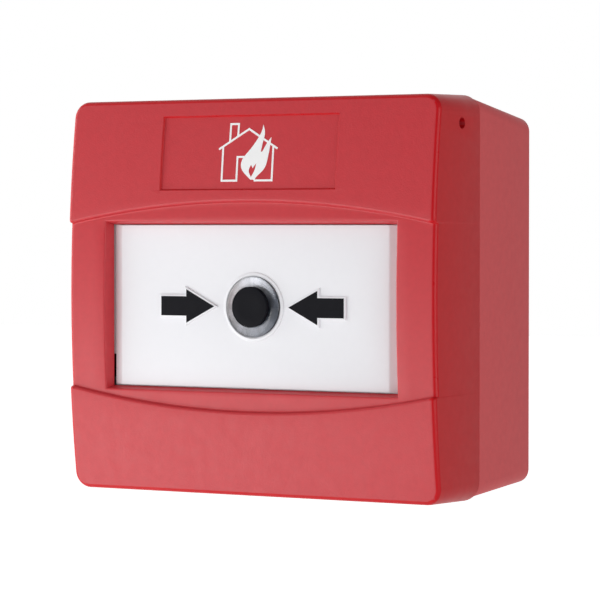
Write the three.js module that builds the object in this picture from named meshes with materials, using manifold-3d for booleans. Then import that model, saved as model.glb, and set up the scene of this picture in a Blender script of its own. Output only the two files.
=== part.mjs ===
// Surface-mounted manual call point, resettable type, as an assembly of separate pieces.
// Millimetres. X runs to the right, Y into the wall (the front faces -Y) and Z up.
// The origin is the centre of the back box's floor, on the wall plane.

import * as THREE from 'three';
import { mergeVertices } from 'three/addons/utils/BufferGeometryUtils.js';
import Module from 'manifold-3d';

const wasm = await Module();
wasm.setup();

// ---------------------------------------------------------------- driving dimensions

const WIDTH = 98;                 // bezel, at its rear rim
const HEIGHT = 90;
const BOX_DEPTH = 28;             // wall plane to the rim where bezel and box meet
const BULGE_PEAK = 48.3;          // wall plane to the foremost point of the bezel
const BULGE_RADIUS = 292;         // the front is part of a cylinder about X
const DRAFT_X = 0.062;            // bezel side draft, per millimetre of depth
const DRAFT_Z = 0.015;            // bezel top and bottom draft
const BEZEL_WALL = 2.3;
const FRONT_THICKNESS = 3.3;      // behind the raised bands
const OUTLINE_RADIUS = 4.4;

const EYE_Z = -2.15;              // centre height of the middle zone, window and button
const EYE_INSET = 1.05;           // the middle zone lies this far behind the bands
const EYE_END_HALF = 18.7;        // half height of the middle zone at the bezel's sides
const EYE_MID_HALF = 23.55;       // and at its middle
const RECESS = { halfWidth: 23.05, bottom: 24.05, top: 40.95, depth: 0.55 };
const WINDOW = { halfWidth: 38.05, halfHeight: 19.15, draft: 0.62, foot: 44.05 };
const SIDE_HOLE = { radius: 1.25, depth: 36, z: 38.5 };

const BOX = {                     // outline of the back box at the rim and at the wall
  rimHalf: 48.8, rimTop: 44.45, rimBottom: -44.3,
  wallHalf: 47.4, wallTop: 40.85, wallBottom: -42.95,
  wall: 2.6, floor: 2.5, corner: 3.2, innerCorner: 1.4,
};
const LIP = {                     // thin wall that stands inside the bezel's rim
  half: 46.4, top: 41.95, bottom: -41.9, wall: 1.2, front: 30.5, rear: 25,
  corner: 1.4, innerCorner: 0.6,
};
const TAB = { x: 16, halfLength: 4, thickness: 1.3, root: 34.5, end: 24 };
const FIXING_SLOT = { x: 30.15, halfLength: 4.5, halfHeight: 2.2, endRadius: 2.19 };
const CABLE_HOLE = { radius: 9, z: 20 };
const KNOCK_OUT = { outer: 10.4, inner: 9.6, depth: 0.9 };

const GAP = 0.3;                  // running or assembly clearance between neighbours
const PIN_GAP = 0.15;             // radial clearance of a hinge pin
const OVER = 1;                   // how far a cut reaches past the surface that it opens
const ARC_STEPS = 10;             // segments in a rounded outline's arc
const ROUND = 24;                 // sides of a turned piece
const SMALL_ROUND = 16;
const SLIVER = 0.004;              // edges and steps below this are merged away

// Depths below are distances in front of the wall plane, so a point's Y is minus its depth.
const PLATE = {
  front: 44.6, flangeFront: 43.6, back: 41.0,
  panelHalf: 35.1, bevelHalf: 37.2, bevelDepth: 43.75,
  panelTop: 16.2, panelBottom: -20.38,
  flangeHalf: 39.5, flangeTop: 18.3, flangeBottom: -23.4, notchTop: -13.5,
};
const PLATE_HINGE = {
  depth: 39.3, z: -20.5, radius: 1.5, earInner: 35, earOuter: 37, earHalf: 2,
  lugHalf: 3, lugFront: 41.5,
};
const ARROW = {                   // black face; its boss is wider by a border all round
  tail: 23.9, neck: 17.15, tip: 9.72, shaftHalf: 2.2, headHalf: 3.8, border: 0.4,
  bossFront: 45.05, front: 45.15,
};
// The button sits slightly to the right of the plate's centre.
const BUTTON_X = 0.5;
const RING = { radius: 6.85, rimFront: 44.9, topRadius: 4.8, topFront: 45.6, stem: 3.0 };
const COLLAR = { inner: 7.05, outer: 7.8, height: 0.3 };
const DISC = { radius: 4.6, front: 46.65 };

const CHASSIS = { half: 44, top: 38, bottom: -38, front: 36, back: 34 };
const POST = { x: 40.5, z: 31, radius: 3.2, pilot: 1.25, webHalf: 0.8, pilotDepth: 14 };
const POST_SCREW = { head: 2.9, height: 1.8, shank: 1.1, length: 11, clearance: 1.8 };
const BOARD = { half: 36, top: 30, bottom: -34, front: 31.6, back: 30.0 };
const BOARD_SCREW = { head: 2.4, height: 1.5, shank: 1.05, length: 4 };
const STANDOFF = { x: 32, top: 26, bottom: -30, radius: 2.6, pilot: 1.25 };
const SWITCH = { x: 15, halfWidth: 2.9, bottom: -16.5, top: -3.7, front: 38.1 };
const LEVER = {                   // rests tilted out by restAngle, in degrees
  pivotDepth: 39.2, pivotZ: -15.4, length: 11, thickness: 0.4, halfWidth: 2.1,
  restAngle: 7, curl: 0.75, pin: 0.5, earHeight: 0.9,
};
const PLUNGER = { z: -12.5, halfX: 0.8, halfZ: 0.6, front: 39.2, back: 36.5 };
const SPRING = { x: 22, z: 6, meanRadius: 2.5, wire: 0.35, turns: 4, seat: 1.2 };
const FLAG = { bottom: 21.5, top: 25.5, front: 43.55, back: 42.85, legInner: 41, legOuter: 43.5 };
const FLAG_GUIDE = { bottom: 10, top: 27, thickness: 0.9, height: 3 };
const BARREL = {
  x: 24, depth: 39.3, radius: 2.4, collar: 2.9, bottom: -40.5, top: -25.5, lobe: 3.9,
  collarHeight: 1.2, bracketTop: -30, bracketBottom: -34, bracketHalf: 4, bracketFront: 42.7,
  keySlot: 0.6, keyDepth: 2, camHalf: 1.2, holeGap: 0.8, bearingGap: 0.2,
};
const TERMINAL = {
  x: 15, pitch: 5, z: -26, halfZ: 4, halfX: 7.6, back: 20.5,
  well: 1.7, wellDepth: 5.5, wireDepth: 8, screw: 1.45, screwHeight: 2.6, slotHalf: 0.25,
};
const RESISTOR = { radius: 1.15, half: 3.1, lead: 0.3, leadX: 4.5, lift: 1.6 };
const LIGHT = { ledFlange: 2.9, led: 2.5, ledTip: 37.0, pipe: 2.75, pipeFlange: 4.4, pipeTip: 39.2 };
const JUMPER = { z: 12, halfX: 3.8, halfZ: 2.5, base: 2.5, pinReach: 8, pitch: 2.54, pinHalf: 0.32 };

// ---------------------------------------------------------------- looks

const LOOKS = {
  bezelRed: { color: 0xc4303a, roughness: 0.42 },
  boxRed: { color: 0xb03440, roughness: 0.55 },
  white: { color: 0xeeeef2, roughness: 0.35 },
  black: { color: 0x26262a, roughness: 0.45 },
  clear: { color: 0xe8eef2, roughness: 0.08, transparent: true, opacity: 0.4 },
  grey: { color: 0x4a4c50, roughness: 0.55 },
  steel: { color: 0xb8bcc0, roughness: 0.3, metalness: 1 },
  board: { color: 0x1f6b43, roughness: 0.4 },
  terminal: { color: 0x2f7d4f, roughness: 0.5 },
  yellow: { color: 0xf2c81e, roughness: 0.45 },
  resistor: { color: 0xd8c49a, roughness: 0.5 },
  diode: { color: 0xc02020, roughness: 0.15 },
};

// ---------------------------------------------------------------- solids

/** Turns a closed three.js geometry into a manifold solid. */
function solid(geometry) {
  const bare = geometry.clone();
  bare.deleteAttribute('normal');
  bare.deleteAttribute('uv');
  const merged = mergeVertices(bare, 1e-4);
  const mesh = new wasm.Mesh({
    numProp: 3,
    vertProperties: new Float32Array(merged.attributes.position.array),
    triVerts: new Uint32Array(merged.index.array),
  });
  return new wasm.Manifold(mesh);
}

/** Joins solids into one. */
function joined(...solids) {
  return solids.reduce((sum, next) => sum.add(next));
}

/** Makes a named three.js mesh from a solid, with the slivers that booleans leave taken out. */
function piece(name, body, look) {
  const { vertProperties, triVerts } = body.simplify(SLIVER).getMesh();
  const geometry = new THREE.BufferGeometry();
  geometry.setAttribute('position', new THREE.BufferAttribute(vertProperties, 3));
  geometry.setIndex(new THREE.BufferAttribute(triVerts, 1));
  geometry.computeVertexNormals();
  const mesh = new THREE.Mesh(geometry, new THREE.MeshStandardMaterial(LOOKS[look]));
  mesh.name = name;
  return mesh;
}

/** A block between two corners given as [x, depth, z]. */
function block([x0, d0, z0], [x1, d1, z1]) {
  const geometry = new THREE.BoxGeometry(Math.abs(x1 - x0), Math.abs(d1 - d0), Math.abs(z1 - z0));
  geometry.translate((x0 + x1) / 2, -(d0 + d1) / 2, (z0 + z1) / 2);
  return solid(geometry);
}

/** Extrudes a shape drawn in X and Z through a range of depths. */
function throughDepth(shape, backDepth, frontDepth, curveSegments = ARC_STEPS) {
  const depth = frontDepth - backDepth;
  const geometry = new THREE.ExtrudeGeometry(shape, { depth, bevelEnabled: false, curveSegments });
  geometry.rotateX(Math.PI / 2);
  geometry.translate(0, -backDepth, 0);
  return geometry;
}

/** Extrudes a shape drawn in Y and Z along X. */
function alongX(shape, x0, x1, curveSegments = ARC_STEPS) {
  const geometry = new THREE.ExtrudeGeometry(shape, {
    depth: x1 - x0, bevelEnabled: false, curveSegments,
  });
  const yzx = new THREE.Matrix4().makeBasis(
    new THREE.Vector3(0, 1, 0), new THREE.Vector3(0, 0, 1), new THREE.Vector3(1, 0, 0),
  );
  geometry.applyMatrix4(yzx);
  geometry.translate(x0, 0, 0);
  return geometry;
}

/** A rod along 'x', 'y' or 'z' through a centre, between two places on that axis. */
function rod(axis, radius, from, to, centre, sides = SMALL_ROUND) {
  const geometry = new THREE.CylinderGeometry(radius, radius, Math.abs(to - from), sides);
  geometry.translate(0, (from + to) / 2, 0);
  if (axis === 'x') geometry.rotateZ(-Math.PI / 2);
  if (axis === 'z') geometry.rotateX(Math.PI / 2);
  geometry.translate(...centre);
  return solid(geometry);
}

/** A rod along Y at (x, z) between two depths. */
function depthRod(radius, backDepth, frontDepth, x, z, sides = SMALL_ROUND) {
  return rod('y', radius, -frontDepth, -backDepth, [x, 0, z], sides);
}

/** A turned solid about Y at (x, z). Its [radius, depth] points run on the axis's wall side first. */
function turned(points, x, z, sides = ROUND) {
  const profile = points.map(([radius, depth]) => new THREE.Vector2(radius, -depth)).reverse();
  const geometry = new THREE.LatheGeometry(profile, sides);
  geometry.translate(x, 0, z);
  return solid(geometry);
}

function rectangle(left, right, bottom, top, radius = 0) {
  const shape = new THREE.Shape();
  if (radius === 0) {
    shape.moveTo(left, bottom).lineTo(right, bottom).lineTo(right, top).lineTo(left, top);
    return shape;
  }
  shape.moveTo(left + radius, bottom);
  shape.lineTo(right - radius, bottom);
  shape.absarc(right - radius, bottom + radius, radius, -Math.PI / 2, 0);
  shape.lineTo(right, top - radius);
  shape.absarc(right - radius, top - radius, radius, 0, Math.PI / 2);
  shape.lineTo(left + radius, top);
  shape.absarc(left + radius, top - radius, radius, Math.PI / 2, Math.PI);
  shape.lineTo(left, bottom + radius);
  shape.absarc(left + radius, bottom + radius, radius, Math.PI, Math.PI * 1.5);
  return shape;
}

/** A block whose outline changes evenly from one rectangle at the back to another at the front. */
function tapered(back, front, backDepth, frontDepth, radius, curveSegments = 5) {
  const shape = rectangle(back.left, back.right, back.bottom, back.top, radius);
  const geometry = throughDepth(shape, backDepth, frontDepth, curveSegments);
  const places = geometry.attributes.position;
  const remap = (value, low, high, newLow, newHigh) => (
    newLow + (value - low) * (newHigh - newLow) / (high - low)
  );
  for (let i = 0; i < places.count; i += 1) {
    if (-places.getY(i) > (backDepth + frontDepth) / 2) {
      places.setX(i, remap(places.getX(i), back.left, back.right, front.left, front.right));
      places.setZ(i, remap(places.getZ(i), back.bottom, back.top, front.bottom, front.top));
    }
  }
  return solid(geometry);
}

function centred(halfWidth, halfHeight, z = 0) {
  return { left: -halfWidth, right: halfWidth, bottom: z - halfHeight, top: z + halfHeight };
}

// ---------------------------------------------------------------- front bezel

/** Everything behind the bulged front surface, set back by an inset. */
function behindFront(inset) {
  const radius = BULGE_RADIUS - inset;
  const centreY = BULGE_RADIUS - BULGE_PEAK;
  const reach = 56;
  const angle = Math.asin(reach / radius);
  const rear = -15;
  const shape = new THREE.Shape();
  shape.moveTo(rear, -reach);
  shape.lineTo(centreY - radius * Math.cos(angle), -reach);
  shape.absarc(centreY, 0, radius, Math.PI + angle, Math.PI - angle, true);
  shape.lineTo(rear, reach);
  return solid(alongX(shape, -reach, reach, 22));
}

/** Half width and half height of the bezel, less a wall, at a depth. */
function bezelOutline(wall, depth) {
  const run = depth - BOX_DEPTH;
  return centred(WIDTH / 2 - wall - DRAFT_X * run, HEIGHT / 2 - wall - DRAFT_Z * run);
}

/** The middle zone's outline: straight at the sides, an arc above and below. */
function eyeShape() {
  const half = WIDTH / 2 + 2;
  const rise = EYE_MID_HALF - EYE_END_HALF;
  const radius = (half * half + rise * rise) / (2 * rise);
  const angle = Math.asin(half / radius);
  const up = Math.PI / 2;
  const shape = new THREE.Shape();
  shape.absarc(0, EYE_Z + EYE_MID_HALF - radius, radius, up - angle, up + angle);
  shape.absarc(0, EYE_Z - EYE_MID_HALF + radius, radius, -up - angle, -up + angle);
  return shape;
}

function frontBezel() {
  const reach = BULGE_PEAK + 2;
  const deepest = BULGE_PEAK - FRONT_THICKNESS;
  const drafted = tapered(bezelOutline(0, BOX_DEPTH), bezelOutline(0, reach),
    BOX_DEPTH, reach, OUTLINE_RADIUS);
  let body = drafted.intersect(behindFront(0));

  const eye = solid(throughDepth(eyeShape(), deepest - 6, reach, 26));
  body = body.subtract(eye.subtract(behindFront(EYE_INSET)));
  const recess = block([-RECESS.halfWidth, deepest - 6, RECESS.bottom],
    [RECESS.halfWidth, reach, RECESS.top]);
  body = body.subtract(recess.subtract(behindFront(RECESS.depth)));

  const cavityBack = BOX_DEPTH - 1;
  const cavity = tapered(bezelOutline(BEZEL_WALL, cavityBack), bezelOutline(BEZEL_WALL, reach),
    cavityBack, reach, OUTLINE_RADIUS - BEZEL_WALL, 3);
  body = body.subtract(cavity.intersect(behindFront(FRONT_THICKNESS)));

  const rim = 2;
  const frame = block(
    [-WINDOW.halfWidth - rim, WINDOW.foot, EYE_Z - WINDOW.halfHeight - rim],
    [WINDOW.halfWidth + rim, deepest + 1, EYE_Z + WINDOW.halfHeight + rim],
  );
  const lip = BULGE_PEAK - EYE_INSET;
  const over = 3;
  const flare = WINDOW.draft / (lip - WINDOW.foot);
  const window = tapered(
    centred(WINDOW.halfWidth - WINDOW.draft - flare * over,
      WINDOW.halfHeight - WINDOW.draft - flare * over, EYE_Z),
    centred(WINDOW.halfWidth + flare * over, WINDOW.halfHeight + flare * over, EYE_Z),
    WINDOW.foot - over, lip + over, 0,
  );
  body = body.add(frame.intersect(behindFront(EYE_INSET + 1))).subtract(window);

  body = joined(body, ...[-1, 1].flatMap((side) => snapTabs(side)));
  const hole = rod('x', SIDE_HOLE.radius, -WIDTH, WIDTH, [0, -SIDE_HOLE.depth, SIDE_HOLE.z]);
  const keyHole = rod('z', BARREL.radius + BARREL.holeGap, -HEIGHT / 2 - OVER,
    -HEIGHT / 2 + BEZEL_WALL + OVER, [BARREL.x, -BARREL.depth, 0]);
  return body.subtract(hole).subtract(keyHole);
}

/** Two tabs on the bezel's top or bottom wall that reach inside the back box's lip. */
function snapTabs(side) {
  const innerWall = HEIGHT / 2 - BEZEL_WALL + 0.2;
  const outer = (side > 0 ? LIP.top : -LIP.bottom) - LIP.wall - GAP;
  const inner = outer - TAB.thickness;
  return [-TAB.x, TAB.x].map((x) => {
    const foot = block([x - TAB.halfLength, LIP.front + GAP, side * inner],
      [x + TAB.halfLength, TAB.root, side * innerWall]);
    const tongue = block([x - TAB.halfLength, TAB.end, side * inner],
      [x + TAB.halfLength, TAB.root, side * outer]);
    return foot.add(tongue);
  });
}

// ---------------------------------------------------------------- back box

/** The box's outline, less a wall, at a depth in front of the wall plane. */
function boxOutline(wall, depth) {
  const t = depth / BOX_DEPTH;
  const mix = (atWall, atRim) => atWall + (atRim - atWall) * t;
  const half = mix(BOX.wallHalf, BOX.rimHalf) - wall;
  return {
    left: -half,
    right: half,
    bottom: mix(BOX.wallBottom, BOX.rimBottom) + wall,
    top: mix(BOX.wallTop, BOX.rimTop) - wall,
  };
}

function backBox() {
  const outer = tapered(boxOutline(0, 0), boxOutline(0, BOX_DEPTH), 0, BOX_DEPTH, BOX.corner);
  const over = BOX_DEPTH + OVER;
  const inner = tapered(boxOutline(BOX.wall, BOX.floor), boxOutline(BOX.wall, over),
    BOX.floor, over, BOX.innerCorner, 3);
  const lipOuter = { left: -LIP.half, right: LIP.half, bottom: LIP.bottom, top: LIP.top };
  const lipInner = {
    left: -LIP.half + LIP.wall, right: LIP.half - LIP.wall,
    bottom: LIP.bottom + LIP.wall, top: LIP.top - LIP.wall,
  };
  const lip = tapered(lipOuter, lipOuter, LIP.rear, LIP.front, LIP.corner, 3)
    .subtract(tapered(lipInner, lipInner, LIP.rear - OVER, LIP.front + OVER, LIP.innerCorner, 2));
  let body = outer.subtract(inner).add(lip);

  for (const x of [-POST.x, POST.x]) {
    for (const z of [-POST.z, POST.z]) {
      const root = BOX.floor / 2;
      body = body.add(depthRod(POST.radius, root, CHASSIS.back, x, z));
      const web = block([x, root, z - POST.webHalf],
        [Math.sign(x) * LIP.half, LIP.rear, z + POST.webHalf]);
      body = body.add(web.intersect(outer));
      body = body.subtract(depthRod(POST.pilot, CHASSIS.back - POST.pilotDepth,
        CHASSIS.back + OVER, x, z));
    }
  }
  const { halfLength, halfHeight, endRadius } = FIXING_SLOT;
  for (const x of [-FIXING_SLOT.x, FIXING_SLOT.x]) {
    const slot = rectangle(x - halfLength, x + halfLength, -halfHeight, halfHeight, endRadius);
    body = body.subtract(solid(throughDepth(slot, -OVER, BOX.floor + OVER, 4)));
  }
  body = body.subtract(depthRod(CABLE_HOLE.radius, -OVER, BOX.floor + OVER, 0, CABLE_HOLE.z, ROUND));
  const topSlope = Math.atan((BOX.rimTop - BOX.wallTop) / BOX_DEPTH);
  const bottomSlope = Math.atan((BOX.rimBottom - BOX.wallBottom) / BOX_DEPTH);
  return body
    .subtract(knockOutGroove((BOX.rimTop + BOX.wallTop) / 2, -topSlope))
    .subtract(knockOutGroove((BOX.rimBottom + BOX.wallBottom) / 2, -bottomSlope));
}

/** A scored ring that lets a 20 mm conduit entry be knocked out of the top or bottom wall. */
function knockOutGroove(z, tilt) {
  const { outer, inner, depth } = KNOCK_OUT;
  const ring = rod('z', outer, -depth, depth, [0, 0, 0], ROUND)
    .subtract(rod('z', inner, -2 * depth, 2 * depth, [0, 0, 0], ROUND));
  return ring.rotate([THREE.MathUtils.radToDeg(tilt), 0, 0])
    .translate([0, -BOX_DEPTH / 2, z]);
}

// ---------------------------------------------------------------- operating plate and button

/** An arrow that points to the middle, in X and Z, grown by a border; side is -1 or 1. */
function arrowShape(side, border) {
  const slope = ARROW.headHalf / (ARROW.neck - ARROW.tip);
  const tip = ARROW.tip - border / Math.sin(Math.atan(slope));
  const neck = ARROW.neck + border;
  const tail = ARROW.tail + border;
  const shaftHalf = ARROW.shaftHalf + border;
  const headHalf = (neck - tip) * slope;
  const corners = [
    [tail, -shaftHalf], [tail, shaftHalf], [neck, shaftHalf], [neck, headHalf],
    [tip, 0], [neck, -headHalf], [neck, -shaftHalf],
  ];
  return new THREE.Shape(corners.map(([x, z]) => new THREE.Vector2(side * x, EYE_Z + z)));
}

function operatingPlate() {
  const p = PLATE;
  const panelRect = (half) => (
    { left: -half, right: half, bottom: p.panelBottom, top: p.panelTop }
  );
  const sole = tapered(panelRect(p.bevelHalf), panelRect(p.bevelHalf), p.flangeFront,
    p.bevelDepth, 0);
  const panel = tapered(panelRect(p.bevelHalf), panelRect(p.panelHalf), p.bevelDepth, p.front, 0);
  const flange = block([-p.flangeHalf, p.back, p.flangeBottom],
    [p.flangeHalf, p.flangeFront, p.flangeTop]);
  const notch = block([-p.flangeHalf - OVER, p.back - OVER, p.flangeBottom - OVER],
    [-p.bevelHalf, p.flangeFront + OVER, p.notchTop]);
  let body = joined(sole, panel, flange).subtract(notch);

  for (const side of [-1, 1]) {
    body = body.add(solid(throughDepth(arrowShape(side, ARROW.border), p.front, ARROW.bossFront)));
    body = body.add(hingeEar(side));
    body = body.add(depthRod(SPRING.meanRadius - SPRING.wire - GAP, p.back - SPRING.seat, p.back,
      side * SPRING.x, SPRING.z));
  }
  const collar = depthRod(COLLAR.outer, p.front - 0.5, p.front + COLLAR.height,
    BUTTON_X, EYE_Z, ROUND)
    .subtract(depthRod(COLLAR.inner, p.front, p.front + OVER, BUTTON_X, EYE_Z, ROUND));
  const stemHole = depthRod(RING.stem + GAP, p.back - OVER, p.front + OVER,
    BUTTON_X, EYE_Z, ROUND);
  return body.add(collar).subtract(stemHole);
}

/** One cheek behind the plate's lower corner with its hinge pin. */
function hingeEar(side) {
  const { depth, z, radius, earInner, earOuter, earHalf } = PLATE_HINGE;
  const ear = block([side * earInner, depth - radius - GAP, z - earHalf],
    [side * earOuter, PLATE.back, z + earHalf]);
  const pin = rod('x', radius, earInner + 0.5, CHASSIS.half - 1.6, [0, 0, 0]);
  return ear.add(pin.scale([side, 1, 1]).translate([0, -depth, z]));
}

function lightRing() {
  const r = RING;
  return turned([
    [0, PLATE.back + 0.2], [r.stem, PLATE.back + 0.2], [r.stem, PLATE.front],
    [r.radius, PLATE.front], [r.radius, r.rimFront],
    [(r.radius + r.topRadius) / 2, r.topFront - 0.3], [r.topRadius, r.topFront],
    [0, r.topFront],
  ], BUTTON_X, EYE_Z, ROUND + 8);
}

function buttonDisc() {
  const edge = 0.25;
  return turned([
    [0, RING.topFront], [DISC.radius, RING.topFront], [DISC.radius, DISC.front - edge],
    [DISC.radius - edge, DISC.front], [0, DISC.front],
  ], BUTTON_X, EYE_Z, ROUND + 8);
}

// ---------------------------------------------------------------- mechanism

function chassis() {
  const c = CHASSIS;
  let body = solid(throughDepth(rectangle(-c.half, c.half, c.bottom, c.top, 2), c.back, c.front, 3));
  const switchHole = block(
    [SWITCH.x - SWITCH.halfWidth - GAP, c.back - OVER, SWITCH.bottom - GAP],
    [SWITCH.x + SWITCH.halfWidth + GAP, c.front + OVER, SWITCH.top + GAP],
  );
  const pipeHole = depthRod(LIGHT.pipe + GAP, c.back - OVER, c.front + OVER, 0, EYE_Z);
  body = body.subtract(switchHole).subtract(pipeHole);

  for (const side of [-1, 1]) {
    const lug = block(
      [side * (PLATE.flangeHalf + GAP), c.front, PLATE_HINGE.z - PLATE_HINGE.lugHalf],
      [side * (c.half - 1), PLATE_HINGE.lugFront, PLATE_HINGE.z + PLATE_HINGE.lugHalf],
    );
    const guideX = FLAG.legInner - GAP;
    const guide = block([side * (guideX - FLAG_GUIDE.thickness), c.front, FLAG_GUIDE.bottom],
      [side * guideX, c.front + FLAG_GUIDE.height, FLAG_GUIDE.top]);
    const springSeat = depthRod(SPRING.meanRadius - SPRING.wire - GAP, c.front,
      c.front + SPRING.seat, side * SPRING.x, SPRING.z);
    body = joined(body, lug, guide, springSeat);
    for (const z of [STANDOFF.top, STANDOFF.bottom]) {
      body = body.add(depthRod(STANDOFF.radius, BOARD.front, c.back, side * STANDOFF.x, z));
      body = body.subtract(depthRod(STANDOFF.pilot, BOARD.front - OVER, c.back + 0.8,
        side * STANDOFF.x, z));
    }
    for (const z of [-POST.z, POST.z]) {
      body = body.subtract(depthRod(POST_SCREW.clearance, c.back - OVER, c.front + OVER,
        side * POST.x, z));
    }
  }
  const pinHole = rod('x', PLATE_HINGE.radius + PIN_GAP, -WIDTH / 2, WIDTH / 2,
    [0, -PLATE_HINGE.depth, PLATE_HINGE.z]);
  return body.subtract(pinHole).add(barrelBracket());
}

/** The chassis bracket in which the reset barrel turns. */
function barrelBracket() {
  const { x, depth, radius, bracketHalf, bracketFront, bracketTop, bracketBottom } = BARREL;
  const bracket = block([x - bracketHalf, CHASSIS.front, bracketBottom],
    [x + bracketHalf, bracketFront, bracketTop]);
  const bearing = rod('z', radius + BARREL.bearingGap, bracketBottom - OVER, bracketTop + OVER,
    [x, -depth, 0]);
  return bracket.subtract(bearing);
}

/** A cross-head screw along Y whose head faces the room (facing = 1) or the wall (-1). */
function screw(x, z, seatDepth, size, facing = 1) {
  const headTop = seatDepth + facing * size.height;
  const head = depthRod(size.head, Math.min(seatDepth, headTop), Math.max(seatDepth, headTop), x, z);
  const end = seatDepth - facing * size.length;
  const shank = depthRod(size.shank, Math.min(end, seatDepth), Math.max(end, seatDepth), x, z, 12);
  const slotFloor = headTop - facing * size.height * 0.5;
  const slotTop = headTop + facing * OVER;
  const long = size.head * 0.62;
  const thin = size.head * 0.16;
  const cross = [[long, thin], [thin, long]].map(([dx, dz]) => (
    block([x - dx, slotFloor, z - dz], [x + dx, slotTop, z + dz])
  ));
  return head.add(shank).subtract(cross[0]).subtract(cross[1]);
}

function chassisScrews() {
  const places = [[-1, 1], [1, 1], [-1, -1], [1, -1]];
  return places.map(([sx, sz], i) => piece(`chassis_screw_${i + 1}`,
    screw(sx * POST.x, sz * POST.z, CHASSIS.front, POST_SCREW), 'steel'));
}

function circuitBoard() {
  const b = BOARD;
  let body = solid(throughDepth(rectangle(-b.half, b.half, b.bottom, b.top, 1.5), b.back, b.front, 2));
  for (const x of [-STANDOFF.x, STANDOFF.x]) {
    for (const z of [STANDOFF.top, STANDOFF.bottom]) {
      body = body.subtract(depthRod(STANDOFF.pilot, b.back - OVER, b.front + OVER, x, z, 12));
    }
  }
  return body;
}

function boardScrews() {
  const places = [[-STANDOFF.x, STANDOFF.top], [STANDOFF.x, STANDOFF.bottom]];
  return places.map(([x, z], i) => piece(`board_screw_${i + 1}`,
    screw(x, z, BOARD.back, BOARD_SCREW, -1), 'steel'));
}

/** The switch's body with its lever's ears and pin, and a pocket for the plunger. */
function switchBody() {
  const s = SWITCH;
  const pocket = block(
    [s.x - PLUNGER.halfX - PIN_GAP, PLUNGER.back - OVER, PLUNGER.z - PLUNGER.halfZ - PIN_GAP],
    [s.x + PLUNGER.halfX + PIN_GAP, s.front + OVER, PLUNGER.z + PLUNGER.halfZ + PIN_GAP],
  );
  const body = block([s.x - s.halfWidth, BOARD.front, s.bottom], [s.x + s.halfWidth, s.front, s.top]);
  const ears = [-1, 1].map((side) => block(
    [s.x + side * (LEVER.halfWidth + PIN_GAP), s.front - 0.5, s.bottom],
    [s.x + side * s.halfWidth, LEVER.pivotDepth + LEVER.earHeight, LEVER.pivotZ + LEVER.earHeight],
  ));
  const pin = rod('x', LEVER.pin, s.x - s.halfWidth, s.x + s.halfWidth,
    [0, -LEVER.pivotDepth, LEVER.pivotZ], 12);
  return joined(body.subtract(pocket), ...ears, pin);
}

/** A flat blade curled round the switch's pin. */
function switchLever() {
  const { halfWidth, thickness, length, curl, pin, restAngle, pivotDepth, pivotZ } = LEVER;
  const [left, right] = [SWITCH.x - halfWidth, SWITCH.x + halfWidth];
  const blade = block([left, -thickness / 2, 0], [right, thickness / 2, length])
    .rotate([restAngle, 0, 0])
    .translate([0, -pivotDepth, pivotZ]);
  const centre = [0, -pivotDepth, pivotZ];
  return blade.add(rod('x', curl, left, right, centre, 12))
    .subtract(rod('x', pin + 0.02, left - OVER, right + OVER, centre, 12));
}

function microswitch() {
  const plunger = block([SWITCH.x - PLUNGER.halfX, PLUNGER.back, PLUNGER.z - PLUNGER.halfZ],
    [SWITCH.x + PLUNGER.halfX, PLUNGER.front, PLUNGER.z + PLUNGER.halfZ]);
  return [
    piece('switch_body', switchBody(), 'black'),
    piece('switch_lever', switchLever(), 'steel'),
    piece('switch_plunger', plunger, 'yellow'),
  ];
}

function terminalBlock(centreX) {
  const t = TERMINAL;
  let body = block([centreX - t.halfX, t.back, t.z - t.halfZ],
    [centreX + t.halfX, BOARD.back, t.z + t.halfZ]);
  for (const x of terminalPlaces(centreX)) {
    const screwWell = depthRod(t.well, t.back - OVER, t.back + t.wellDepth, x, t.z);
    const wireWell = block([x - t.well, t.back + t.wellDepth - 1.5, t.z - t.halfZ - OVER],
      [x + t.well, t.back + t.wireDepth, t.z - 0.4]);
    body = body.subtract(screwWell).subtract(wireWell);
  }
  return body;
}

function terminalPlaces(centreX) {
  return [-1, 0, 1].map((n) => centreX + n * TERMINAL.pitch);
}

function terminalScrews() {
  const places = [-TERMINAL.x, TERMINAL.x].flatMap((x) => terminalPlaces(x));
  const { screw: radius, screwHeight, slotHalf, z } = TERMINAL;
  const top = TERMINAL.back + 1;
  return places.map((x, i) => {
    const body = depthRod(radius, top, top + screwHeight, x, z);
    const slot = block([x - radius - OVER, top - OVER, z - slotHalf],
      [x + radius + OVER, top + 0.7, z + slotHalf]);
    return piece(`terminal_screw_${i + 1}`, body.subtract(slot), 'steel');
  });
}

/** An axial resistor on the back of the board, its two leads bent down to the board. */
function resistor(x, z) {
  const r = RESISTOR;
  const depth = BOARD.back - r.lift;
  const body = rod('x', r.radius, -r.half, r.half, [x, -depth, z], 14);
  const leads = [-1, 1].flatMap((side) => {
    const across = rod('x', r.lead, side * (r.half - 0.1), side * (r.leadX + r.lead),
      [x, -depth, z], 8);
    const down = depthRod(r.lead, depth - 0.25, BOARD.back, x + side * r.leadX, z, 8);
    return [across, down];
  });
  return joined(body, ...leads);
}

function indicatorLed() {
  const { ledFlange, led, ledTip } = LIGHT;
  const flangeTop = BOARD.front + 1;
  return turned([
    [0, BOARD.front], [ledFlange, BOARD.front], [ledFlange, flangeTop], [led, flangeTop],
    [led, ledTip - 2], [led * 0.88, ledTip - 0.9], [led * 0.56, ledTip - 0.2], [0, ledTip],
  ], 0, EYE_Z, SMALL_ROUND + 4);
}

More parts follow.
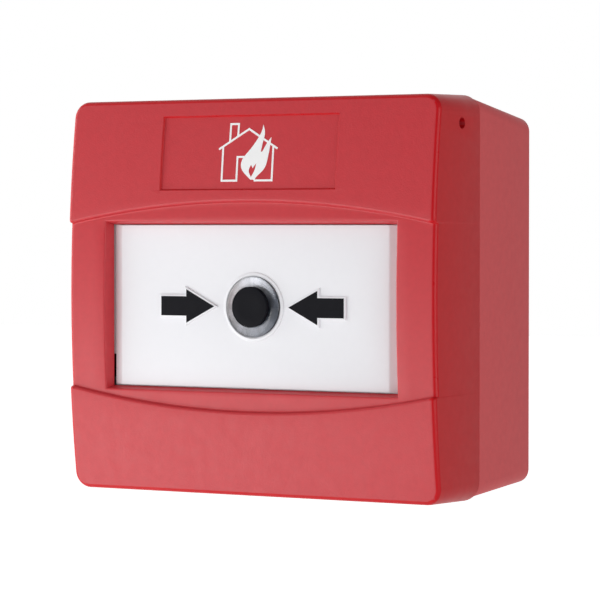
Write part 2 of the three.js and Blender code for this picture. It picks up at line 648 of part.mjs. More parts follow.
function lightPipe() {
  const { ledTip, pipe, pipeFlange, pipeTip } = LIGHT;
  const { front } = CHASSIS;
  const flangeTop = front + 0.9;
  const stem = pipe + 0.45;
  return turned([
    [0, ledTip + GAP], [pipe, ledTip + GAP], [pipe, front], [pipeFlange, front],
    [pipeFlange, flangeTop], [stem, flangeTop], [stem, pipeTip - 1],
    [stem - 0.6, pipeTip - 0.2], [0, pipeTip],
  ], 0, EYE_Z, SMALL_ROUND + 4);
}

/** A closed-end compression spring along Y between the chassis and the plate. */
function plateSpring(x) {
  const { meanRadius, wire, turns, z } = SPRING;
  const start = CHASSIS.front + wire + 0.1;
  const end = PLATE.back - wire - 0.1;
  const stepsPerTurn = 10;
  const points = [];
  for (let i = 0; i <= turns * stepsPerTurn; i += 1) {
    const angle = (i / stepsPerTurn) * Math.PI * 2;
    const depth = start + (end - start) * i / (turns * stepsPerTurn);
    points.push(new THREE.Vector3(
      x + meanRadius * Math.cos(angle), -depth, z + meanRadius * Math.sin(angle),
    ));
  }
  const section = new THREE.Shape().absarc(0, 0, wire, 0, Math.PI * 2);
  const geometry = new THREE.ExtrudeGeometry(section, {
    steps: points.length - 1,
    extrudePath: new THREE.CatmullRomCurve3(points),
    curveSegments: 5,
    bevelEnabled: false,
  });
  return solid(geometry);
}

function alarmFlag() {
  const f = FLAG;
  const blade = block([-f.legOuter, f.back, f.bottom], [f.legOuter, f.front, f.top]);
  const legs = [-1, 1].map((side) => block([side * f.legInner, CHASSIS.front + GAP, f.bottom],
    [side * f.legOuter, f.front, f.top]));
  return joined(blade, ...legs);
}

/** A key barrel with two collars, a cam at its inner end and a key slot at its outer end. */
function resetBarrel() {
  const b = BARREL;
  const centre = [b.x, -b.depth, 0];
  const upperCollar = b.bracketTop + GAP;
  const lowerCollar = b.bracketBottom - GAP;
  const stem = rod('z', b.radius, b.bottom, b.top, centre);
  const upper = rod('z', b.collar, upperCollar, upperCollar + b.collarHeight, centre);
  const lower = rod('z', b.collar, lowerCollar - b.collarHeight, lowerCollar, centre);
  const cam = block([b.x - b.lobe, b.depth - b.camHalf, upperCollar + b.collarHeight],
    [b.x, b.depth + b.camHalf, b.top]);
  const keySlot = block([b.x - b.radius, b.depth - b.keySlot, b.bottom - OVER],
    [b.x + b.radius, b.depth + b.keySlot, b.bottom + b.keyDepth]);
  return joined(stem, upper, lower, cam).subtract(keySlot);
}

function jumperHeader() {
  const { z, halfX, halfZ, base, pinReach, pitch, pinHalf } = JUMPER;
  const housing = block([-halfX, BOARD.back - base, z - halfZ], [halfX, BOARD.back, z + halfZ]);
  const pins = [-pitch, 0, pitch].flatMap((x) => [z - pitch / 2, z + pitch / 2].map((row) => block(
    [x - pinHalf, BOARD.back - pinReach, row - pinHalf],
    [x + pinHalf, BOARD.back - base + 0.5, row + pinHalf],
  )));
  return joined(housing, ...pins);
}

// ---------------------------------------------------------------- assembly

const assembly = new THREE.Group();

const enclosure = new THREE.Group();
enclosure.add(
  piece('front_bezel', frontBezel(), 'bezelRed'),
  piece('back_box', backBox(), 'boxRed'),
);

const button = new THREE.Group();
button.add(
  piece('operating_plate', operatingPlate(), 'white'),
  piece('light_ring', lightRing(), 'clear'),
  piece('button_disc', buttonDisc(), 'black'),
);
for (const [side, name] of [[-1, 'arrow_left'], [1, 'arrow_right']]) {
  const face = throughDepth(arrowShape(side, 0), ARROW.bossFront, ARROW.front);
  button.add(piece(name, solid(face), 'black'));
}

const mechanism = new THREE.Group();
mechanism.add(
  piece('chassis', chassis(), 'grey'),
  ...chassisScrews(),
  piece('circuit_board', circuitBoard(), 'board'),
  ...boardScrews(),
  ...microswitch(),
  piece('terminal_block_left', terminalBlock(-TERMINAL.x), 'terminal'),
  piece('terminal_block_right', terminalBlock(TERMINAL.x), 'terminal'),
  ...terminalScrews(),
  piece('resistor_alarm', resistor(-16, 4), 'resistor'),
  piece('resistor_end_of_line', resistor(-16, -6), 'resistor'),
  piece('indicator_led', indicatorLed(), 'diode'),
  piece('light_pipe', lightPipe(), 'clear'),
  piece('plate_spring_left', plateSpring(-SPRING.x), 'steel'),
  piece('plate_spring_right', plateSpring(SPRING.x), 'steel'),
  piece('alarm_flag', alarmFlag(), 'yellow'),
  piece('reset_barrel', resetBarrel(), 'grey'),
  piece('jumper_header', jumperHeader(), 'black'),
);

assembly.add(enclosure, button, mechanism);

export default assembly;
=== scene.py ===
"""Looks of a surface-mounted manual call point, built around its CAD frame.

Lengths are millimetres in this script and become metres in the helpers that make meshes.
X runs to the right, Y into the wall and Z up, as in the CAD model.
"""
import math
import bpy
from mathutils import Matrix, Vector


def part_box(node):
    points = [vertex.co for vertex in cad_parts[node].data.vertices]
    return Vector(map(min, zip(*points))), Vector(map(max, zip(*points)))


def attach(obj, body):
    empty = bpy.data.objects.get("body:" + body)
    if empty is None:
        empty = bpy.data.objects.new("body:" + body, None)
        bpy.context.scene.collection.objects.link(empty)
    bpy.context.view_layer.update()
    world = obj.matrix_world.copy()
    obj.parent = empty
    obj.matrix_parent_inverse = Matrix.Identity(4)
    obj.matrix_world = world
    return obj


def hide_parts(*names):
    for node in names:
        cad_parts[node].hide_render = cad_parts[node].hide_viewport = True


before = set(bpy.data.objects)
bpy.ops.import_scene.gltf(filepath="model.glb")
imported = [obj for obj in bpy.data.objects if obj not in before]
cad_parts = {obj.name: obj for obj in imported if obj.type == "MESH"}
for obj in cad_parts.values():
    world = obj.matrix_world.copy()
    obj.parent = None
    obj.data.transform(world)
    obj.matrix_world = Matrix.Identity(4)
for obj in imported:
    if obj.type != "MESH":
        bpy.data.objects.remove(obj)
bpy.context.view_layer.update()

from types import SimpleNamespace as Group

import bmesh
import bpy
from mathutils import Matrix, Vector

MM = 0.001

# ---------- dimensions shared with the CAD

bezel_low, bezel_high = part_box("front_bezel")
WIDTH = (bezel_high.x - bezel_low.x) / MM
HEIGHT = (bezel_high.z - bezel_low.z) / MM
BOX_DEPTH = 28.0                 # wall plane to the rim where bezel and box meet
BULGE_PEAK = 48.3                # wall plane to the front cylinder's foremost line
BULGE_RADIUS = 292.0
EYE_Z = -2.15                    # centre height of middle zone, window and button
EYE_INSET = 1.05
EYE_MID_HALF = 23.55
EYE_ARC_RADIUS = 236.0
RECESS_HALF = 23.05
RECESS_BOTTOM = 24.05
RECESS_TOP = 40.95
RECESS_DEPTH = 0.55
RECESS_RIM = 0.34                # width of the recess's rounded rim
WINDOW_HALF_X = 38.05
WINDOW_HALF_Z = 19.15
WINDOW_DRAFT = 0.62
WINDOW_FOOT = -44.05
WINDOW_FRAME = 2.0
BEZEL_WALL = 2.3
FRONT_THICKNESS = 3.3
SIDE_HOLE = Group(radius=1.25, y=-36.0, z=38.5)

FRONT_HALF_X = 47.87             # the bezel's outline where its front edge starts to round
FRONT_HALF_Z = 44.72
REAR_CORNER = 4.4
FRONT_CORNER = 3.7
INNER_CORNER = 1.5
EDGE_RADIUS = 1.1                # rounding between the bezel's front and its sides
REAR_ROUND = 0.45                # rounding of the bezel's rear rim
LIP_ROUND = 0.4                  # rounding of the window's front edge
KEY_HOLE = Group(radius=3.2, x=24.0, y=-39.3, low=-50.0, high=-40.0)
TAB = Group(half_x=4.0, x=16, thickness=1.3, tops=((1, 40.45), (-1, 40.4)), reach=42.9)

ARROW = Group(tail=23.9, neck=17.15, tip=9.72, shaft=2.2, head=3.8, border=0.4)
BOSS_FRONT = -45.05
ARROW_FRONT = -45.13
BUTTON_X = 0.5
RING_RADIUS = 6.85
RING_TOP = -45.6
DISC_RADIUS = 4.6
DISC_FRONT = -46.65


# ---------- camera and light

WORLD = Group(turn=17, left=-0.5, right=0.0, right_strength=0.16)

SOFTBOXES = [                    # name, place, target, width, height, radiance
    ("low_left", (-235, -310, -125), (-10, -40, 0), 290, 210, 2.4),
    ("left", (-430, -130, 50), (0, -40, 0), 180, 300, 2.8),
    ("right", (540, -230, 60), (0, -40, 0), 420, 420, 2.2),
]

AZIMUTH = 30.19
ELEVATION = 1.45
DISTANCE = 656.6
AIM = Vector((9.81, -40.0, -0.56))
LENS = 175.7


def show(item):
    bpy.context.scene.collection.objects.link(item)


def make_camera():
    azimuth, elevation = math.radians(AZIMUTH), math.radians(ELEVATION)
    back = Vector((
        math.sin(azimuth) * math.cos(elevation),
        -math.cos(azimuth) * math.cos(elevation),
        math.sin(elevation),
    ))
    data = bpy.data.cameras.new("camera")
    data.lens = LENS
    data.sensor_width = 36.0
    data.clip_start, data.clip_end = 0.01, 50.0
    camera = bpy.data.objects.new("camera", data)
    camera.location = (AIM + back * DISTANCE) * MM
    camera.rotation_mode = "QUATERNION"
    camera.rotation_quaternion = (-back).to_track_quat("-Z", "Y")
    show(camera)
    bpy.context.scene.camera = camera


def make_softbox(name, place, target, width, height, radiance):
    """A rectangular softbox at a place, turned towards a target, in millimetres."""
    data = bpy.data.lights.new(name, "AREA")
    data.shape = "RECTANGLE"
    data.size = width * MM
    data.size_y = height * MM
    data.energy = radiance * math.pi * width * height * MM * MM
    light = bpy.data.objects.new(name, data)
    light.location = Vector(place) * MM
    light.rotation_mode = "QUATERNION"
    light.rotation_quaternion = (Vector(target) - Vector(place)).to_track_quat("-Z", "Y")
    show(light)


def make_world():
    """A white studio that is dimmer to the object's right."""
    world = bpy.data.worlds.new("studio")
    bpy.context.scene.world = world
    world.use_nodes = True
    nodes = world.node_tree.nodes
    nodes.clear()
    direction = nodes.new("ShaderNodeTexCoord")
    turn = add_node(nodes, "Mapping", Rotation=(0, 0, math.radians(WORLD.turn)))
    join(direction, "Generated", turn, "Vector")
    split = nodes.new("ShaderNodeSeparateXYZ")
    join(turn, "Vector", split, 0)
    side = map_range(nodes, WORLD.left, WORLD.right, 1.0, WORLD.right_strength)
    join(split, "X", side, "Value")
    background = add_node(nodes, "Background", Color=(1, 1, 1, 1))
    join(side, "Result", background, "Strength")
    output = nodes.new("ShaderNodeOutputWorld")
    join(background, 0, output, 0)


def add_node(nodes, kind, **sockets):
    """A shader node; sockets are given with underscores for spaces."""
    node = nodes.new("ShaderNode" + kind)
    for socket, value in sockets.items():
        node.inputs[socket.replace("_", " ")].default_value = value
    return node


def join(source, output, target, socket):
    """Joins an output of one node to a socket of another."""
    source.id_data.links.new(source.outputs[output], target.inputs[socket])


def map_range(nodes, low, high, new_low, new_high):
    return add_node(nodes, "MapRange", From_Min=low, From_Max=high, To_Min=new_low, To_Max=new_high)


def make_floor():
    """A plain pale floor well below the wall-mounted object; it glows, most strongly to its left, and
    that glow also lights the object.
    """
    half, z = 6000.0, -260.0
    mesh = bpy.data.meshes.new("floor")
    corners = [(-half, -half), (half, -half), (half, half), (-half, half)]
    mesh.from_pydata([Vector((x, y, z)) * MM for x, y in corners], [], [(0, 1, 2, 3)])
    floor = bpy.data.objects.new("floor", mesh)
    show(floor)
    material = new_material("floor_left_glow", (0.82, 0.82, 0.82), 0.9)
    nodes = material.node_tree.nodes
    place = nodes.new("ShaderNodeTexCoord")
    split = nodes.new("ShaderNodeSeparateXYZ")
    # Painted glow: emission strength falls from the floor's left towards its middle.
    left_glow = map_range(nodes, -0.35, 0.15, 0.7, 0.0)
    join(place, "Object", split, 0)
    join(split, "X", left_glow, "Value")
    nodes["Principled BSDF"].inputs["Emission Color"].default_value = (1, 1, 1, 1)
    wire(material, left_glow.outputs["Result"], "Emission Strength")
    mesh.materials.append(material)


# ---------- materials

def linear(red, green, blue):
    """sRGB values from 0 to 255 as linear light."""
    def channel(value):
        c = value / 255
        return c / 12.92 if c <= 0.04045 else ((c + 0.055) / 1.055) ** 2.4
    return channel(red), channel(green), channel(blue)


def new_material(name, colour, roughness, **sockets):
    """A Principled material; sockets are given with underscores for spaces."""
    material = bpy.data.materials.new(name)
    material.use_nodes = True
    shader = material.node_tree.nodes["Principled BSDF"]
    shader.inputs["Base Color"].default_value = (*colour, 1.0)
    shader.inputs["Roughness"].default_value = roughness
    for socket, value in sockets.items():
        shader.inputs[socket.replace("_", " ")].default_value = value
    return material


def wire(material, output, socket):
    """Joins a node's output to a socket of the material's main shader."""
    tree = material.node_tree
    tree.links.new(output, tree.nodes["Principled BSDF"].inputs[socket])


def add_noise(material, scale, detail=3.0):
    """A noise texture in the object's own metres; returns its node."""
    nodes = material.node_tree.nodes
    place = nodes.new("ShaderNodeTexCoord")
    noise = add_node(nodes, "TexNoise", Scale=scale, Detail=detail)
    join(place, "Object", noise, "Vector")
    return noise


def vary_colour(material, scale, darker, lighter):
    """Mixes two tones of the base colour through a noise."""
    nodes = material.node_tree.nodes
    noise = add_noise(material, scale)
    ramp = nodes.new("ShaderNodeValToRGB")
    for element, place, tone in zip(ramp.color_ramp.elements, (0.3, 0.7), (darker, lighter)):
        element.position, element.color = place, (*tone, 1.0)
    join(noise, "Fac", ramp, "Fac")
    wire(material, ramp.outputs["Color"], "Base Color")


def vary_roughness(material, scale, low, high):
    noise = add_noise(material, scale)
    reach = map_range(material.node_tree.nodes, 0.3, 0.7, low, high)
    join(noise, "Fac", reach, "Value")
    wire(material, reach.outputs["Result"], "Roughness")


def add_bump(material, scale, height, strength=1.0, detail=2.0):
    """A moulded texture: noise of the given scale, with its height in millimetres."""
    nodes = material.node_tree.nodes
    noise = add_noise(material, scale, detail)
    bump = add_node(nodes, "Bump", Strength=strength, Distance=height * MM)
    join(noise, "Fac", bump, "Height")
    wire(material, bump.outputs["Normal"], "Normal")


def plastic(name, colour, roughness, grain_scale, grain_height, tone=0.03, **sockets):
    """Moulded plastic with a fine grain and slight changes of tone and gloss."""
    material = new_material(name, colour, roughness, **sockets)
    vary_colour(material, 700.0, [c * (1 - tone) for c in colour], [c * (1 + tone) for c in colour])
    vary_roughness(material, 400.0, roughness - 0.03, roughness + 0.04)
    add_bump(material, grain_scale, grain_height)
    return material


def metal(name, colour, roughness, stretch):
    """Metal with fine drawing lines; stretch scales the noise along X, Y and Z."""
    material = new_material(name, colour, roughness, Metallic=1.0)
    nodes = material.node_tree.nodes
    noise = add_noise(material, 900.0)
    mapping = add_node(nodes, "Mapping", Scale=stretch)
    source = noise.inputs["Vector"].links[0].from_socket
    material.node_tree.links.new(source, mapping.inputs["Vector"])
    join(mapping, "Vector", noise, "Vector")
    reach = map_range(nodes, 0.0, 1.0, roughness - 0.1, roughness + 0.15)
    join(noise, "Fac", reach, "Value")
    wire(material, reach.outputs["Result"], "Roughness")
    add_bump(material, 2500.0, 0.004)
    return material


def clear_plastic(name, colour, roughness):
    """Polished clear plastic with faint flow marks."""
    material = new_material(name, colour, roughness, Transmission_Weight=1.0, IOR=1.5)
    vary_roughness(material, 300.0, roughness * 0.6, roughness * 1.6)
    add_bump(material, 260.0, 0.05)
    return material


def circuit_board_material():
    """Green solder mask over copper tracks that run up the board, with a woven base."""
    material = new_material("board_mask", linear(22, 84, 48), 0.32, Coat_Weight=0.4)
    nodes = material.node_tree.nodes
    place = nodes.new("ShaderNodeTexCoord")
    turn = add_node(nodes, "Mapping", Rotation=(math.pi / 2, 0, 0))
    tracks = add_node(
        nodes, "TexBrick", Color1=(*linear(20, 84, 46), 1), Color2=(*linear(24, 92, 52), 1),
        Mortar=(*linear(58, 132, 74), 1), Scale=120.0, Mortar_Size=0.05, Brick_Width=0.9,
        Row_Height=0.3,
    )
    join(place, "Object", turn, "Vector")
    join(turn, "Vector", tracks, "Vector")
    wire(material, tracks.outputs["Color"], "Base Color")
    add_bump(material, 3000.0, 0.01)
    return material


def resistor_material(centre_x, bands):
    """A lacquered body with colour bands round it; each band is (offset, colour)."""
    beige = linear(214, 190, 146)
    material = new_material("resistor_" + str(len(bpy.data.materials)), beige, 0.3)
    nodes = material.node_tree.nodes
    place = nodes.new("ShaderNodeTexCoord")
    split = nodes.new("ShaderNodeSeparateXYZ")
    half = 4.8
    reach = map_range(nodes, (centre_x - half) * MM, (centre_x + half) * MM, 0.0, 1.0)
    ramp = nodes.new("ShaderNodeValToRGB")
    ramp.color_ramp.interpolation = "CONSTANT"
    silver = linear(190, 192, 196)
    stops = [(-half, silver), (-3.1, beige)]
    for offset, colour in bands:
        stops += [(offset - 0.28, colour), (offset + 0.28, beige)]
    stops.append((3.1, silver))
    elements = ramp.color_ramp.elements
    elements[0].position, elements[0].color = 0.0, (*stops[0][1], 1)
    elements.remove(elements[1])
    for offset, colour in stops[1:]:
        element = elements.new((offset + half) / (2 * half))
        element.color = (*colour, 1)
    join(place, "Object", split, 0)
    join(split, "X", reach, "Value")
    join(reach, "Result", ramp, "Fac")
    wire(material, ramp.outputs["Color"], "Base Color")
    add_bump(material, 1500.0, 0.01)
    return material


def painted_reflection_optics_material():
    """Greyish moulded optics under the clear ring, with a painted reflection round the ring (light at
    the top, warm grey to the left, dark to the right, mid bluish at the bottom), lightly streaked.
    """
    material = new_material("ring_optics", linear(150, 154, 166), 0.35, Metallic=0.3)
    nodes = material.node_tree.nodes
    place = nodes.new("ShaderNodeTexCoord")
    centre = add_node(nodes, "Mapping", Location=(-BUTTON_X * MM, 0, -EYE_Z * MM))
    turn = add_node(nodes, "Mapping", Rotation=(math.pi / 2, 0, 0))
    polar = nodes.new("ShaderNodeTexGradient")
    polar.gradient_type = "RADIAL"
    join(place, "Object", centre, "Vector")
    join(centre, "Vector", turn, "Vector")
    join(turn, "Vector", polar, "Vector")

    # Painted reflection: each side of the ring gets the tone of the surroundings it would mirror.
    left, top = linear(196, 184, 182), linear(250, 250, 252)
    right, bottom = linear(118, 124, 136), linear(176, 180, 190)
    painted_reflection_tones = nodes.new("ShaderNodeValToRGB")
    painted_reflection_tones.color_ramp.interpolation = "B_SPLINE"
    elements = painted_reflection_tones.color_ramp.elements
    elements[0].position, elements[0].color = 0.0, (*left, 1)
    elements[1].position, elements[1].color = 1.0, (*left, 1)
    for position, tone in ((0.12, left), (0.2, top), (0.3, top), (0.42, right), (0.58, right),
                           (0.68, bottom), (0.8, bottom)):
        elements.new(position).color = (*tone, 1)
    join(polar, "Fac", painted_reflection_tones, "Fac")

    # Noise streaks round the ring make the painted reflection lighter and darker.
    streaks = add_node(nodes, "TexNoise", Scale=16.0, Detail=2.0)
    streaks.noise_dimensions = "1D"
    join(polar, "Fac", streaks, "W")
    shade = map_range(nodes, 0.3, 0.7, 0.78, 1.12)
    join(streaks, "Fac", shade, "Value")
    tint = nodes.new("ShaderNodeHueSaturation")
    join(painted_reflection_tones, "Color", tint, "Color")
    join(shade, "Result", tint, "Value")
    wire(material, tint.outputs["Color"], "Base Color")
    return material


RED = (0.60, 0.026, 0.037)
SIDE_RED = (0.58, 0.030, 0.034)
BOX_RED = (0.68, 0.10, 0.107)

MATERIALS = {
    "band": plastic("band_red", RED, 0.42, 3000.0, 0.04),
    "eye": plastic("eye_red", RED, 0.4, 2600.0, 0.006),
    # A deeper, more saturated copy of the red with less sheen: painted shade along the rounded edges.
    "edge": plastic("edge_red_painted_shade", (0.62, 0.008, 0.014), 0.3, 2600.0, 0.003,
                    Specular_IOR_Level=0.25),
    "side": plastic("side_red", SIDE_RED, 0.42, 2600.0, 0.006, Specular_IOR_Level=0.35),
    "box": plastic("box_red", BOX_RED, 0.5, 3600.0, 0.02),
    "white": plastic("white_plate", (0.93, 0.93, 0.965), 0.32, 1800.0, 0.0006, 0.004),
    "ink": plastic("white_ink", (1.0, 1.0, 1.0), 0.4, 5000.0, 0.003, 0.005),
    "print": plastic("black_print", (0.005, 0.005, 0.008), 0.5, 5200.0, 0.006, 0.08,
                     Specular_IOR_Level=0.1),
    "disc": plastic("black_disc", (0.004, 0.004, 0.007), 0.45, 3000.0, 0.003, 0.08,
                    Specular_IOR_Level=0.1),
    "black": plastic("black_moulding", linear(30, 30, 32), 0.45, 2600.0, 0.006, 0.08),
    "grey": plastic("grey_moulding", linear(72, 74, 78), 0.5, 2600.0, 0.01, 0.06),
    "yellow": plastic("yellow_moulding", linear(238, 190, 20), 0.42, 2600.0, 0.006, 0.04),
    "terminal": plastic("terminal_green", linear(44, 128, 76), 0.45, 2600.0, 0.008, 0.06),
    "ring": clear_plastic("clear_ring", (0.94, 0.95, 0.98), 0.05),
    "pipe": clear_plastic("clear_pipe", (0.95, 0.97, 0.98), 0.06),
    "led": clear_plastic("red_epoxy", (0.75, 0.05, 0.04), 0.05),
    "optics": painted_reflection_optics_material(),
    "screw": metal("zinc_steel", (0.62, 0.63, 0.65), 0.3, (1.0, 1.0, 1.0)),
    "spring": metal("spring_steel", (0.52, 0.52, 0.54), 0.25, (1.0, 0.2, 1.0)),
    "board": circuit_board_material(),
}


# ---------- mesh helpers

def new_object(name, mesh_maker, materials, smooth_angle=30.0):
    """Makes an object from a filled bmesh, with consistent normals and smooth shading."""
    bmesh.ops.remove_doubles(mesh_maker, verts=mesh_maker.verts, dist=1e-4)
    bmesh.ops.recalc_face_normals(mesh_maker, faces=mesh_maker.faces)
    bmesh.ops.scale(mesh_maker, vec=(MM, MM, MM), verts=mesh_maker.verts)
    mesh = bpy.data.meshes.new(name)
    mesh_maker.to_mesh(mesh)
    mesh_maker.free()
    for material in materials:
        mesh.materials.append(material)
    piece = bpy.data.objects.new(name, mesh)
    show(piece)
    smooth(piece, smooth_angle)
    return piece


def smooth(piece, angle):
    piece.data.shade_smooth()
    piece.data.set_sharp_from_angle(angle=math.radians(angle))


def applied(piece):
    """Turns the object's modifiers into its mesh."""
    graph = bpy.context.evaluated_depsgraph_get()
    mesh = bpy.data.meshes.new_from_object(piece.evaluated_get(graph))
    piece.modifiers.clear()
    piece.data = mesh
    return piece


def combine(piece, tools, operation):
    """Joins or cuts an object with others, which are then removed."""
    for tool in tools:
        modifier = piece.modifiers.new(operation.lower(), "BOOLEAN")
        modifier.operation = operation
        modifier.solver = "EXACT"
        modifier.object = tool
        bpy.context.view_layer.update()
        applied(piece)
        bpy.data.objects.remove(tool)
    return piece


def rounded_loop(left, right, bottom, top, radius, y, steps=10):
    """Corner-rounded rectangle at one Y, as points in order."""
    points = []
    centres = [
        (right - radius, bottom + radius, -90), (right - radius, top - radius, 0),
        (left + radius, top - radius, 90), (left + radius, bottom + radius, 180),
    ]
    for cx, cz, start in centres:
        for step in range(steps + 1):
            angle = math.radians(start + 90 * step / steps)
            points.append((cx + radius * math.cos(angle), y, cz + radius * math.sin(angle)))
    return points


def circle_loop(cx, cz, radius, y, steps=48):
    return [
        (cx + radius * math.cos(2 * math.pi * i / steps), y,
         cz + radius * math.sin(2 * math.pi * i / steps))
        for i in range(steps)
    ]


def loft(loops):
    """A closed solid through loops of equal length, with flat caps."""
    maker = bmesh.new()
    rings = [[maker.verts.new(p) for p in loop] for loop in loops]
    bridge(maker, rings)
    maker.faces.new(rings[0])
    maker.faces.new(rings[-1])
    return maker


def bridge(maker, rings):
    """Quads between rings that follow each other."""
    for first, second in zip(rings, rings[1:]):
        count = len(first)
        for i in range(count):
            j = (i + 1) % count
            maker.faces.new((first[i], first[j], second[j], second[i]))


def turned(points, cx, cz, steps=64):
    """A solid turned about Y from (radius, y) points whose ends lie off the axis."""
    return loft([circle_loop(cx, cz, radius, y, steps) for radius, y in points])


def inset_polygon(points, distance):
    """Moves each side of an anticlockwise outline inwards, keeping its corners sharp."""
    moved = []
    count = len(points)
    for i in range(count):
        before, here, after = (Vector(points[(i + k) % count]) for k in (-1, 0, 1))
        first, second = (here - before).normalized(), (after - here).normalized()
        normal_1, normal_2 = Vector((-first.y, first.x)), Vector((-second.y, second.x))
        corner = (normal_1 + normal_2) / (1 + normal_1.dot(normal_2))
        moved.append(tuple(here + corner * distance))
    return moved


def rounded_prism(outline, back, front, radius, steps=3):
    """A prism of an XZ outline whose front edge is rounded."""
    loops = [[(x, back, z) for x, z in outline]]
    for step in range(steps + 1):
        angle = math.pi / 2 * step / steps
        shrink = radius * (1 - math.cos(angle))
        y = front + radius * (1 - math.sin(angle))
        loops.append([(x, y, z) for x, z in inset_polygon(outline, shrink)])
    return loft(loops)


def block(low, high):
    """An axis-aligned solid between two corners."""
    (x0, y0, z0), (x1, y1, z1) = low, high
    return loft([
        [(x0, y0, z0), (x1, y0, z0), (x1, y0, z1), (x0, y0, z1)],
        [(x0, y1, z0), (x1, y1, z0), (x1, y1, z1), (x0, y1, z1)],
    ])


def tool(mesh_maker):
    """A helper object for combine()."""
    return new_object("tool", mesh_maker, [])


def rod(axis, radius, start, end, centre, steps=32):
    """A cylinder along an axis vector through a centre."""
    maker = turned([(radius, start), (radius, end)], 0, 0, steps)
    turn = Vector((0, 1, 0)).rotation_difference(Vector(axis)).to_matrix().to_4x4()
    bmesh.ops.transform(maker, matrix=Matrix.Translation(centre) @ turn, verts=maker.verts)
    return maker


def spaced(stops, step):
    """The stops with even steps filled in between them, no longer than a step."""
    places = [stops[0]]
    for low, high in zip(stops, stops[1:]):
        parts = max(1, math.ceil(abs(high - low) / step - 1e-6))
        places += [low + (high - low) * (i + 1) / parts for i in range(parts)]
    return places


# ---------- front bezel

def front_y(z, inset=0.0):
    """Y of the bulged front at a height, set back by an inset."""
    return BULGE_RADIUS - BULGE_PEAK - math.sqrt((BULGE_RADIUS - inset) ** 2 - z * z)


def recess_margin(x, z):
    """How far a place lies inside the recess's outline."""
    return min(RECESS_HALF - abs(x), RECESS_TOP - z, z - RECESS_BOTTOM)


def recess_inset(x, z):
    """How far the symbol's recess sinks at a place, with a narrow rounded rim."""
    share = min(max(recess_margin(x, z) / RECESS_RIM, 0.0), 1.0)
    return RECESS_DEPTH * share * share * (3 - 2 * share)


def eye_arc(x):
    """Half height of the middle zone at x, from its own centre."""
    return EYE_MID_HALF - EYE_ARC_RADIUS + math.sqrt(EYE_ARC_RADIUS ** 2 - x * x)


def step_profile():
    """The band's edge beside the middle zone, as (distance outside the arc, inset) pairs."""
    crest, foot = 0.75, 0.3
    points = []
    for degrees in (0, 15, 30, 45, 60, 75):
        angle = math.radians(degrees)
        points.append((crest * (1 - math.sin(angle)), crest * (1 - math.cos(angle))))
    for degrees in (15, 40, 65, 90):
        angle = math.radians(degrees)
        points.append((-foot * (1 - math.cos(angle)), EYE_INSET - foot * (1 - math.sin(angle))))
    return points


RIM_STEPS = [RECESS_RIM * share for share in (0.0, 0.2, 0.4, 0.6, 0.8, 1.0)]
RECESS_COLUMNS = [RECESS_HALF - step for step in reversed(RIM_STEPS)]
# Columns from the middle to the corner zone, the same for the outer and the inner skin.
RIGHT_COLUMNS = len(spaced([0.0, *RECESS_COLUMNS, WINDOW_HALF_X], 3.0)) + 2


